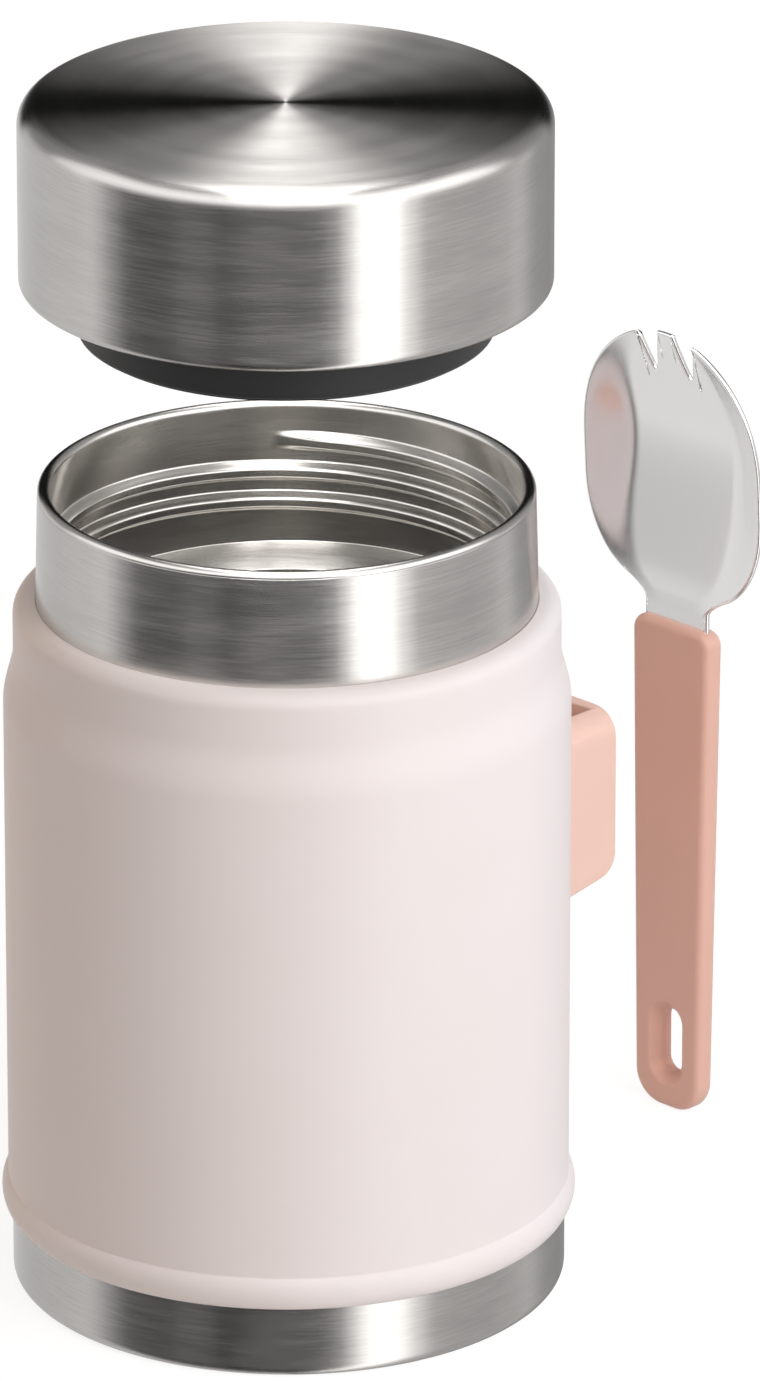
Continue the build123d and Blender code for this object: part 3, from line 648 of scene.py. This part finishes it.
def plug_swell(height, angle):
    """The lid's ridge stands outwards from the plug's wall, half a pitch below the neck's, and
    is turned as far as the lifted lid is unscrewed."""
    rows = np.arange(height.shape[0])[:, None]
    on_plug = (rows >= len(before_plug)) & (rows < len(before_plug) + PLUG_ROWS)
    turned_deg = LID_LIFT / THREAD_PITCH * 360
    top = liner_high.z - THREAD_DROP - THREAD_PITCH / 2 + LID_LIFT
    ridge = ridge_height(height, angle, top, PLUG_TURNS, THREAD_START_DEG + turned_deg,
                         PLUG_RIDGE_H, PLUG_RIDGE_BASE, PLUG_RIDGE_CREST)
    return ridge * on_plug


black_plastic = matt_plastic("black_polypropylene", "#191817", roughness=0.50, sheen=0.0)
stopper_shell = surface("stopper_moulding", spun(stopper_profile, plug_swell), join_rows=True)
dress(stopper_shell, "stopper_shell", "lid", black_plastic)

FLOOR_RING_R = 21.0 * MM
FLOOR_RING_W = 1.2 * MM
FLOOR_RING_H = 0.35 * MM
FLOOR_RING_STEPS = 9

floor_profile = disc(*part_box("stopper_floor"), FLOOR_RING_R, FLOOR_RING_W, FLOOR_RING_H,
                     FLOOR_RING_STEPS, EDGE, 4)
stopper_floor = surface("stopper_floor_disc", spun(floor_profile))
dress(stopper_floor, "stopper_floor", "lid", black_plastic)


def foam():
    """Closed-cell foam, cream coloured, with cells about 0.6 mm wide. The darker cream lies in
    each cell's hollow, where the bump is lowest: painted shade.
    """
    cell_size, cell_depth, cell_strength, roughness = 0.6 * MM, 0.1 * MM, 0.5, 0.85
    material, tree, shader = new_material("closed_cell_foam")
    place = node(tree, "ShaderNodeTexCoord")
    cells = node(tree, "ShaderNodeTexVoronoi", {"Scale": 1 / cell_size},
                 {"Vector": place.outputs["Object"]}).outputs["Distance"]
    shader.inputs["Roughness"].default_value = roughness
    # The darker cream follows the cells' hollows: painted shade.
    feed(tree, shader, {"Base Color": two_tone(tree, colour("#D9D2C0"), colour("#EFEADC"), cells),
                        "Normal": relief(tree, cell_strength, cell_depth, cells)})
    return material


keep("lid_insulation", foam())

# ------------------------------------------------ lid seal
# A ring of black silicone rubber sits in the plug's groove. Its rounded lower corner presses on
# the ledge in the neck. Soft and slightly dusty, so it shines less than the moulding.
SEAL_TOP_ROUND = 0.4 * MM
SEAL_ROOM = 0.02 * MM

ring_low, ring_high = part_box("lid_seal")
ring_r = ring_high.x
ring_in = ring_r - SEAL_T + SEAL_ROOM
seal_profile = joined(
    corners((ring_in, ring_high.z), (ring_in, ring_low.z), (ring_r - SEAL_ROUND, ring_low.z)),
    arc((ring_r - SEAL_ROUND, ring_low.z + SEAL_ROUND), SEAL_ROUND, -90, 0),
    corners((ring_r, ring_low.z + SEAL_ROUND), (ring_r, ring_high.z - SEAL_TOP_ROUND)),
    arc((ring_r - SEAL_TOP_ROUND, ring_high.z - SEAL_TOP_ROUND), SEAL_TOP_ROUND, 0, 90, 4))
lid_seal = surface("silicone_seal", spun(seal_profile), join_rows=True)
dress(lid_seal, "lid_seal", "seal_ring",
      matt_plastic("black_silicone", "#1C1B1B", roughness=0.62, sheen=0.15))

# ------------------------------------------------ spork handle
# The spork's handle is moulded around the blade's tang in rose polypropylene. It narrows a
# little to its lower end, where a slot lets it hang, with a wide bevel on the bowl's side. It is
# solid here, because the tang inside it never shows.
HANDLE_TOP_W = 16.9 * MM
HANDLE_LOW_W = 14.0 * MM
HANDLE_END_R = 5.5 * MM
HANDLE_TOP_R = 2.6 * MM
HANDLE_EDGE = 1.3 * MM
HANG_W = 4.4 * MM
HANG_L = 11.4 * MM
HANG_UP = 5.6 * MM
FRONT_BEVEL = 1.6 * MM
BACK_BEVEL = 0.25 * MM
HANG_LIP = 0.1 * MM
FACE_LIP = 0.1 * MM
FACE_RING = 0.15 * MM
OUTLINE_STEPS = 12
EDGE_STEPS = 9
BEVEL_STEPS = [(0.04, 0.98), (0.12, 0.9), (0.85, 0.17), (0.97, 0.06)]
BEVEL_END = 1.1


def rounded_outline(low_w, top_w, low_z, top_z, low_r, top_r, inset):
    """Points (y, z) round an upright shape with straight sides and round corners, moved in by
    inset. Each corner has the same number of points, so two such outlines pair up point by
    point."""
    lean = math.atan2((top_w - low_w) / 2, top_z - low_z)
    points = []
    rounds = [(1, low_z, low_r, -90, 0), (1, top_z, top_r, 0, 90),
              (-1, top_z, top_r, 90, 180), (-1, low_z, low_r, 180, 270)]
    for side, z, radius, start, end in rounds:
        up = 1 if z == low_z else -1
        tilt = math.degrees(lean) * side * -1
        start_deg = start + (tilt if start in (0, 180) else 0)
        end_deg = end + (tilt if end in (0, 180) else 0)
        centre_z = z + up * radius
        along = (centre_z - low_z) / (top_z - low_z)
        half = (low_w + (top_w - low_w) * along) / 2
        centre_y = side * (half - radius / math.cos(lean))
        points.append(arc((centre_y, centre_z), radius - inset, start_deg, end_deg,
                          OUTLINE_STEPS))
    return np.concatenate(points)


handle_low, handle_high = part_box("spork_handle")
handle_x = (handle_low.x + handle_high.x) / 2
handle_half = (handle_high.x - handle_low.x) / 2


def handle_ring(inset, x):
    """One ring round the handle's outline at depth x."""
    ring = rounded_outline(HANDLE_LOW_W, HANDLE_TOP_W, handle_low.z, handle_high.z,
                           HANDLE_END_R, HANDLE_TOP_R, inset)
    return np.column_stack([np.full(len(ring), handle_x + x), ring])


def slot_ring(grow, x):
    """One ring round the hanging slot, widened by grow, at depth x."""
    low = handle_low.z + HANG_UP - grow
    ring = rounded_outline(HANG_W + 2 * grow, HANG_W + 2 * grow, low, low + HANG_L + 2 * grow,
                           HANG_W / 2 + grow, HANG_W / 2 + grow, 0)
    return np.column_stack([np.full(len(ring), handle_x + x), ring])


def handle_side(way, bevel):
    """Rings from the slot's wall over the bevel, the flat face and the long rounded edge."""
    face = way * handle_half
    rings = [slot_ring(0, way * (handle_half - bevel - HANG_LIP))]
    rings += [slot_ring(out * bevel, way * (handle_half - down * bevel))
              for out, down in BEVEL_STEPS]
    rings += [slot_ring(BEVEL_END * bevel, face), slot_ring(BEVEL_END * bevel + FACE_RING, face),
              handle_ring(HANDLE_EDGE + FACE_LIP, face)]
    for a in np.radians(np.linspace(0, 90, EDGE_STEPS)):
        rings.append(handle_ring(HANDLE_EDGE * (1 - math.sin(a)),
                                 way * (handle_half - HANDLE_EDGE * (1 - math.cos(a)))))
    return rings


handle_grid = np.stack(handle_side(1, BACK_BEVEL) + handle_side(-1, FRONT_BEVEL)[::-1])
spork_handle = surface("spork_handle_moulded", handle_grid, join_rows=True)
rose_plastic = matt_plastic("rose_handle_plastic", "#E0B09E", roughness=0.42, sheen=0.15)
dress(spork_handle, "spork_handle", "spork", rose_plastic)

# ------------------------------------------------ spork blade
# The blade is pressed from 1 mm stainless sheet and polished: a flat neck, a bowl with a flat
# bottom and rounded sides, and three short tines. The rim is ground round. The tang is cut off
# just inside the handle, where it no longer shows.
BLADE_T = 1.0 * MM
NECK_HALF = 6.8 * MM
NECK_FILLET = 1.6 * MM
NECK_L = 3.6 * MM
TANG_IN = 1.5 * MM
HEAD_HALF = 19.2 * MM
HEAD_WIDE_LOW = 18.0 * MM
HEAD_WIDE_TOP = 24.3 * MM
HEAD_TOP = 46.6 * MM
BOWL_DEPTH = 4.4 * MM
BOWL_FLAT = 0.55
LEAN = 0.068
LEAN_STEP = 0.5 * MM
NOTCH_Y = 3.8 * MM
NOTCH_HALF = 2.15 * MM
NOTCH_DEEP = 7.0 * MM
TINE_ROOT = 10.0 * MM
SPINE_TOP = 32.0 * MM
SPINE_UP = 2.0 * MM
LOW_OVAL, TOP_OVAL = 2.6, 2.2
FILLET_SAMPLES = 17
FINE_FROM, FINE_TO = -2 * MM, 5 * MM
FOOT_POINTS, FINE_POINTS, SIDE_POINTS, DOME_POINTS, NOTCH_POINTS = 8, 36, 30, 70, 13
NOTCH_FLAT = 1.12
BOWL_FROM, BOWL_DEEPEST, BOWL_TO = -2 * MM, 27 * MM, 50 * MM
BOWL_RIM = 1.1
LEAN_FROM, LEAN_TO, LEAN_AFTER = -1 * MM, 6 * MM, 1 * MM
TOP_ROOM = 0.2 * MM
TINE_BELOW, TINE_ABOVE = 6 * MM, 8 * MM
ROOT_IN = 0.93
ROOT_UP = 0.4 * MM
INNER_RINGS, OUTER_RINGS, RIM_RINGS = 26, 15, 11


def head_half(z):
    """Half the blade's width at height z without the notches: two halves of a rounded oval over
    the neck, averaged over a few heights so that bowl and neck meet in a fillet."""
    shifts = NECK_FILLET * np.linspace(-1, 1, FILLET_SAMPLES)
    heights = z[..., None] + shifts * (z < HEAD_WIDE_LOW)[..., None]
    low = np.clip((HEAD_WIDE_LOW - heights) / HEAD_WIDE_LOW, 0, 1)
    top = np.clip((heights - HEAD_WIDE_TOP) / (HEAD_TOP - HEAD_WIDE_TOP), 0, 1)
    oval = HEAD_HALF * np.minimum((1 - low ** 2) ** (1 / LOW_OVAL),
                                  np.sqrt(1 - top ** TOP_OVAL))
    return np.where(heights < HEAD_WIDE_LOW, np.maximum(oval, NECK_HALF), oval).mean(axis=-1)


def smooth(value, start, end):
    """0 before start, 1 after end, and a smooth step between them."""
    s = np.clip((value - start) / (end - start), 0, 1)
    return s * s * (3 - 2 * s)


def blade_outline():
    """Right half of the blade's outline (y, z) from the foot of the tang to the top of the middle
    tine, and the same without the notches."""
    foot_z = -NECK_L - TANG_IN
    foot = np.linspace(0, NECK_HALF, FOOT_POINTS, endpoint=False)
    side_z = np.concatenate([np.linspace(foot_z, FINE_FROM, FOOT_POINTS, endpoint=False),
                             np.linspace(FINE_FROM, FINE_TO, FINE_POINTS, endpoint=False),
                             np.linspace(FINE_TO, HEAD_WIDE_TOP, SIDE_POINTS, endpoint=False)])
    dome = HEAD_HALF * np.cos(np.linspace(0, np.pi / 2, DOME_POINTS))
    flanks = NOTCH_Y + NOTCH_HALF * np.linspace(-1, 1, NOTCH_POINTS)
    dome_y = np.unique(np.concatenate([dome[:-1], flanks, [0]]))[::-1]
    share = dome_y / HEAD_HALF
    dome_z = HEAD_WIDE_TOP + (HEAD_TOP - HEAD_WIDE_TOP) * (1 - share ** 2) ** (1 / TOP_OVAL)
    aside = np.abs(dome_y - NOTCH_Y) / NOTCH_HALF
    notch = NOTCH_DEEP * np.clip(NOTCH_FLAT - NOTCH_FLAT * aside, 0, 1)
    y = np.concatenate([foot, head_half(side_z), dome_y])
    plain_z = np.concatenate([np.full(FOOT_POINTS, foot_z), side_z, dome_z])
    cut = np.concatenate([np.zeros(FOOT_POINTS + len(side_z)), notch])
    return np.column_stack([y, plain_z - cut]), np.column_stack([y, plain_z])


def both_sides(right):
    """Closed outline: a right half, then the same points mirrored back down to the foot."""
    return np.concatenate([right, right[-2:0:-1] * [-1, 1]])


def bowl_x(y, z):
    """Depth of the blade's middle surface: a bowl with a flat bottom and smooth walls, shallower
    towards the neck and the tines, in a head that leans forwards."""
    across = np.clip(np.abs(y) / head_half(np.minimum(z, HEAD_TOP - TOP_ROOM)), 0, 1)
    along = smooth(z, BOWL_FROM, BOWL_DEEPEST) * (1 - smooth(z, BOWL_DEEPEST, BOWL_TO))
    lean = LEAN_STEP * smooth(z, LEAN_FROM, LEAN_TO) + LEAN * np.clip(z - LEAN_AFTER, 0, None)
    return handle_x - lean + BOWL_DEPTH * along * (1 - smooth(across, BOWL_FLAT, BOWL_RIM))


def blade_grid():
    """Closed surface: rings grow from a spine to the outline over the front, turn round the rim
    in a half circle and shrink to the spine again over the back."""
    right_cut, right_plain = blade_outline()
    outline, plain = both_sides(right_cut), both_sides(right_plain)
    foot_z = -NECK_L - TANG_IN
    to_side = 1 - (np.abs(plain[:, 0]) / HEAD_HALF) ** 2
    drop = TINE_ROOT * to_side * smooth(plain[:, 1], HEAD_WIDE_TOP - TINE_BELOW,
                                        HEAD_WIDE_TOP + TINE_ABOVE)
    root = np.column_stack([ROOT_IN * plain[:, 0],
                            np.maximum(plain[:, 1] - drop, foot_z + ROOT_UP)])
    spine = np.column_stack([np.zeros(len(root)),
                             np.clip(root[:, 1], foot_z + SPINE_UP, SPINE_TOP)])
    step = np.roll(outline, -1, axis=0) - np.roll(outline, 1, axis=0)
    out = np.column_stack([step[:, 1], -step[:, 0]]) / np.linalg.norm(step, axis=1)[:, None]
    edge = outline - out * BLADE_T / 2
    inner = [spine + (root - spine) * t for t in np.linspace(0, 1, INNER_RINGS)]
    outer = [root + (edge - root) * t for t in np.linspace(0, 1, OUTER_RINGS)[1:]]
    rings, lifts = [], []
    for ring in inner + outer:
        rings.append(ring)
        lifts.append(-BLADE_T / 2)
    for a in np.radians(np.linspace(-90, 90, RIM_RINGS))[1:-1]:
        rings.append(edge + out * BLADE_T / 2 * math.cos(a))
        lifts.append(BLADE_T / 2 * math.sin(a))
    for ring in (inner + outer)[::-1]:
        rings.append(ring)
        lifts.append(BLADE_T / 2)
    rings = np.stack(rings)
    x = bowl_x(rings[..., 0], rings[..., 1]) + np.array(lifts)[:, None]
    head_z = handle_high.z + NECK_L
    return np.stack([x, rings[..., 0], head_z + rings[..., 1]], axis=-1)


def polished_steel_painted_light():
    """Polished 18/8 stainless: a soft mirror, with a haze of fine scratches up the blade. Its tone
    is set paler than stainless reflects, which paints light onto the blade.
    """
    scratch_width, scratch_stretch = 0.6 * MM, 0.08
    roughness, half_range = 0.22, 0.04
    material, tree, shader = new_material("polished_stainless_painted_light")
    place = node(tree, "ShaderNodeTexCoord")
    stretch = node(tree, "ShaderNodeMapping", {"Scale": (1.0, 1.0, scratch_stretch)},
                   {"Vector": place.outputs["Object"]})
    scratch = noise(tree, scratch_width, 3.0, stretch.outputs[0])
    shader.inputs["Metallic"].default_value = 1.0
    # The pale tone #F4F3F2 is painted light: brighter than polished stainless reflects.
    shader.inputs["Base Color"].default_value = colour("#F4F3F2")
    feed(tree, shader, {"Roughness": spread(tree, roughness, half_range, scratch)})
    return material


spork_blade = surface("spork_blade_pressed", blade_grid())
dress(spork_blade, "spork_blade", "spork", polished_steel_painted_light())

# ------------------------------------------------ camera
# Looks down on the jar from in front of the spork loop's left, through a long lens. It is aimed
# to the right of the jar's axis and above its middle, so that jar, lid and spork fill the frame.
CAMERA_TURN_DEG = -45.0
CAMERA_TILT_DEG = 22.53
CAMERA_AWAY = 2.0
CAMERA_TARGET_Z = 65 * MM
AIM_RIGHT = 14.5 * MM
AIM_UP = 30.2 * MM
LENS_MM = 333.25
SENSOR_MM = 36.0
CLIP_END = 20.0

turn, tilt = math.radians(CAMERA_TURN_DEG), math.radians(CAMERA_TILT_DEG)
back = Vector((math.sin(turn) * math.cos(tilt), -math.cos(turn) * math.cos(tilt), math.sin(tilt)))
right = Vector((math.cos(turn), math.sin(turn), 0))
up = back.cross(right)
middle = Vector((0, 0, CAMERA_TARGET_Z))
eye = middle + CAMERA_AWAY * back
aim = middle + AIM_RIGHT * right + AIM_UP * up
camera_data = bpy.data.cameras.new("camera")
camera_data.lens = LENS_MM
camera_data.sensor_width = SENSOR_MM
camera_data.clip_end = CLIP_END
camera = bpy.data.objects.new("camera", camera_data)
camera.location = eye
camera.rotation_euler = (aim - eye).to_track_quat("-Z", "Y").to_euler()
bpy.context.scene.collection.objects.link(camera)
bpy.context.scene.camera = camera

# ------------------------------------------------ floor
# A plain pale floor, white to the camera apart from the soft shadow of the object. Shiny metal
# looks past it at the studio, as it would over a small table.
FLOOR_HALF = 3.0
FLOOR_GLOW = 0.75
FLOOR_GLOW_LEVEL = 1.14
FLOOR_ROUGH = 0.9

floor_mesh = bpy.data.meshes.new("floor")
floor_points = [(x * FLOOR_HALF, y * FLOOR_HALF, 0)
                for x, y in ((-1, -1), (1, -1), (1, 1), (-1, 1))]
floor_mesh.from_pydata(floor_points, [], [(0, 1, 2, 3)])
floor = bpy.data.objects.new("floor", floor_mesh)
floor.visible_glossy = False
bpy.context.scene.collection.objects.link(floor)
pale, floor_tree, pale_shader = new_material("pale_floor")
pale_shader.inputs["Base Color"].default_value = colour("#EDEBE9")
pale_shader.inputs["Roughness"].default_value = FLOOR_ROUGH
ray = node(floor_tree, "ShaderNodeLightPath")
glow = node(floor_tree, "ShaderNodeEmission", {"Color": (1, 1, 1, 1), "Strength": FLOOR_GLOW_LEVEL})
share = node(floor_tree, "ShaderNodeMath", {"operation": "MULTIPLY", 1: FLOOR_GLOW},
             {0: ray.outputs["Is Camera Ray"]})
blend = node(floor_tree, "ShaderNodeMixShader",
             links={0: share.outputs[0], 1: pale_shader.outputs[0], 2: glow.outputs[0]})
floor_tree.links.new(blend.outputs[0], floor_tree.nodes["Material Output"].inputs["Surface"])
floor_mesh.materials.append(pale)

# ------------------------------------------------ studio
# What metal mirrors, tuned for this one view: below the horizon, bands of grey, dark in front;
# above it a bright ring, and a panel overhead that a gap splits. Directions are taken from where
# the object faces.
LOW_BANDS = [(-180, 0.88), (-150, 0.72), (-134, 0.70), (-117, 0.74), (-103, 0.76), (-92, 0.82),
             (-86, 0.62), (-80, 0.33), (-71, 0.08), (-61, 0.06), (-52, 0.06), (-44, 0.11),
             (-35, 0.09), (-27, 0.02), (-11, 0.06), (4, 0.07), (13, 0.10), (21, 0.28), (26, 0.8),
             (31, 1.6), (37, 2.3), (47, 2.1), (55, 1.2), (63, 0.62), (73, 0.54), (92, 0.52),
             (105, 0.58), (118, 0.73), (136, 0.44), (155, 0.36), (180, 0.42)]
HIGH_BANDS = [(-180, 0.2), (-125, 0.35), (-112, 1.2), (-97, 1.4), (-85, 1.5), (-20, 1.8),
              (15, 2.1), (60, 2.2), (98, 1.9), (108, 1.0), (118, 0.4), (180, 0.2)]
HIGH_FROM = 0.0
HIGH_TO = 0.30
RING_TOP = 0.76
RING_SOFT = 0.08
RING_OVER = 0.25
PANEL_HALF = 0.28
PANEL_GAP_AT = 0.10
PANEL_GAP_HALF = 0.05
PANEL_BACK = 0.50
PANEL_FRONT = -0.80
PANEL_LEVEL = 3.2
PANEL_SOFT = 0.05
PANEL_GAP_LEVEL = 0.35
PANEL_UP_FROM, PANEL_UP_TO = 0.55, 0.68
BACK_DARK_FROM = 0.80
BACK_DARK_TO = 0.90
BACK_DARK_SHARE = 0.98
BACK_UP_FROM, BACK_UP_TO = -0.2, 0.05
RAMP_TOP = 3.0
AMBIENT = 0.156
AMBIENT_TONE = "#FFE6D6"
SOFT_BOX_SIDE = 1.0
SOFT_BOX_AWAY = 1.5

world = bpy.data.worlds.new("studio")
bpy.context.scene.world = world
world.use_nodes = True
sky = world.node_tree
sky.nodes.clear()


def sky_step(source, start, end, low=0.0, high=1.0):
    """Smooth step from low at start to high at end."""
    return node(sky, "ShaderNodeMapRange",
                {"interpolation_type": "SMOOTHSTEP", "From Min": start, "From Max": end,
                 "To Min": low, "To Max": high}, {"Value": source}).outputs["Result"]


def sky_value(kind, settings, values):
    """Result of a sky node on values by socket number, each a number or another's output."""
    numbers = {i: v for i, v in values.items() if isinstance(v, float)}
    sockets = {i: v for i, v in values.items() if i not in numbers}
    return node(sky, kind, {**settings, **numbers}, sockets).outputs[0]


def sky_math(operation, *values):
    """One sum on two values, or on one."""
    return sky_value("ShaderNodeMath", {"operation": operation}, dict(enumerate(values)))


def sky_mix(share, low, high):
    """Level between low and high."""
    return sky_value("ShaderNodeMix", {"data_type": "FLOAT"}, {0: share, 2: low, 3: high})


def band_ramp(bands, source):
    """Level by direction round the object: a colour ramp over degrees from -180 to 180. Levels
    are stored at a third, because a ramp holds no more than white."""
    ramp = node(sky, "ShaderNodeValToRGB", links={0: source})
    ramp.color_ramp.interpolation = "EASE"
    stops = ramp.color_ramp.elements
    while len(stops) < len(bands):
        stops.new(0.5)
    for stop, (degrees, level) in zip(stops, bands):
        stop.position = (degrees + 180) / 360
    for stop, (degrees, level) in zip(stops, bands):
        stop.color = (level / RAMP_TOP, level / RAMP_TOP, level / RAMP_TOP, 1)
    return sky_math("MULTIPLY", ramp.outputs[0], RAMP_TOP)


way = node(sky, "ShaderNodeTexCoord")
faced = node(sky, "ShaderNodeVectorRotate", {"rotation_type": "Z_AXIS", "Angle": -turn},
             {"Vector": way.outputs["Generated"]})
parts = node(sky, "ShaderNodeSeparateXYZ", links={0: faced.outputs[0]})
to_right, to_back, to_top = parts.outputs["X"], parts.outputs["Y"], parts.outputs["Z"]
round_angle = sky_math("ARCTAN2", to_right, sky_math("MULTIPLY", to_back, -1.0))
round_share = node(sky, "ShaderNodeMapRange", {"From Min": -math.pi, "From Max": math.pi},
                   {"Value": round_angle}).outputs["Result"]
ring = sky_math("MULTIPLY", band_ramp(HIGH_BANDS, round_share),
                sky_step(to_top, RING_TOP + RING_SOFT, RING_TOP - RING_SOFT, low=RING_OVER))
walls = sky_mix(sky_step(to_top, HIGH_FROM, HIGH_TO), band_ramp(LOW_BANDS, round_share), ring)
panel_side = sky_step(sky_math("ABSOLUTE", to_right), PANEL_HALF + PANEL_SOFT,
                      PANEL_HALF - PANEL_SOFT)
from_gap = sky_math("ABSOLUTE", sky_math("SUBTRACT", to_right, PANEL_GAP_AT))
panel_gap = sky_step(from_gap, 0.0, PANEL_GAP_HALF, low=PANEL_GAP_LEVEL)
panel_high = sky_step(to_top, PANEL_UP_FROM, PANEL_UP_TO)
panel_back = sky_step(to_back, PANEL_BACK + PANEL_SOFT, PANEL_BACK - PANEL_SOFT)
panel_front = sky_step(to_back, PANEL_FRONT - PANEL_SOFT, PANEL_FRONT + PANEL_SOFT)
panel_wide = sky_math("MULTIPLY", sky_math("MULTIPLY", panel_side, panel_gap), panel_high)
panel = sky_math("MULTIPLY", panel_wide, sky_math("MULTIPLY", panel_front, panel_back))
lit = sky_math("ADD", walls, sky_math("MULTIPLY", panel, PANEL_LEVEL))
back_dark = sky_math("MULTIPLY",
                     sky_step(to_back, BACK_DARK_FROM, BACK_DARK_TO, high=BACK_DARK_SHARE),
                     sky_step(to_top, BACK_UP_FROM, BACK_UP_TO))
reflected = sky_math("MULTIPLY", lit, sky_math("SUBTRACT", 1.0, back_dark))
path = node(sky, "ShaderNodeLightPath")
glossy = path.outputs["Is Glossy Ray"]
seen = sky_math("MAXIMUM", path.outputs["Is Camera Ray"], path.outputs["Is Transmission Ray"])
level = sky_mix(seen, sky_mix(glossy, AMBIENT, reflected), 1.0)
warmth = two_tone(sky, colour(AMBIENT_TONE), (1, 1, 1, 1), sky_math("MAXIMUM", seen, glossy))
backdrop = node(sky, "ShaderNodeBackground", links={"Color": warmth, "Strength": level})
node(sky, "ShaderNodeOutputWorld", links={0: backdrop.outputs[0]})
world.cycles.sampling_method = "NONE"


def soft_light(name, azimuth_deg, rise_deg, power, tone):
    """Soft box a metre square, turned azimuth degrees to the right of the camera, aimed at the
    jar. It lights surfaces only; what metal mirrors is the studio above."""
    azimuth, rise = turn + math.radians(azimuth_deg), math.radians(rise_deg)
    data = bpy.data.lights.new(name, "AREA")
    data.size = SOFT_BOX_SIDE
    data.energy = power
    data.color = colour(tone)[:3]
    lamp = bpy.data.objects.new(name, data)
    direction = Vector((math.sin(azimuth) * math.cos(rise), -math.cos(azimuth) * math.cos(rise),
                        math.sin(rise)))
    lamp.location = middle + SOFT_BOX_AWAY * direction
    lamp.rotation_euler = (-direction).to_track_quat("-Z", "Y").to_euler()
    lamp.visible_glossy = False
    lamp.visible_camera = False
    bpy.context.scene.collection.objects.link(lamp)


soft_light("key", 50, 35, 13.2, "#EDF7FF")
soft_light("front_fill", 20, 35, 7.2, "#FFFAF8")
soft_light("right_fill", 110, 20, 4.2, "#E6F3FF")
soft_light("left_fill", -130, 20, 7.0, "#FFEEDD")
soft_light("back_fill", 160, 20, 7.0, "#DCEAFF")
for name in ("lid_cap_brushed", "stopper_moulding", "stopper_floor_disc", "silicone_seal"):
    bpy.data.objects[name].visible_glossy = False
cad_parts["lid_insulation"].visible_glossy = False

bpy.context.scene.view_settings.view_transform = "Standard"
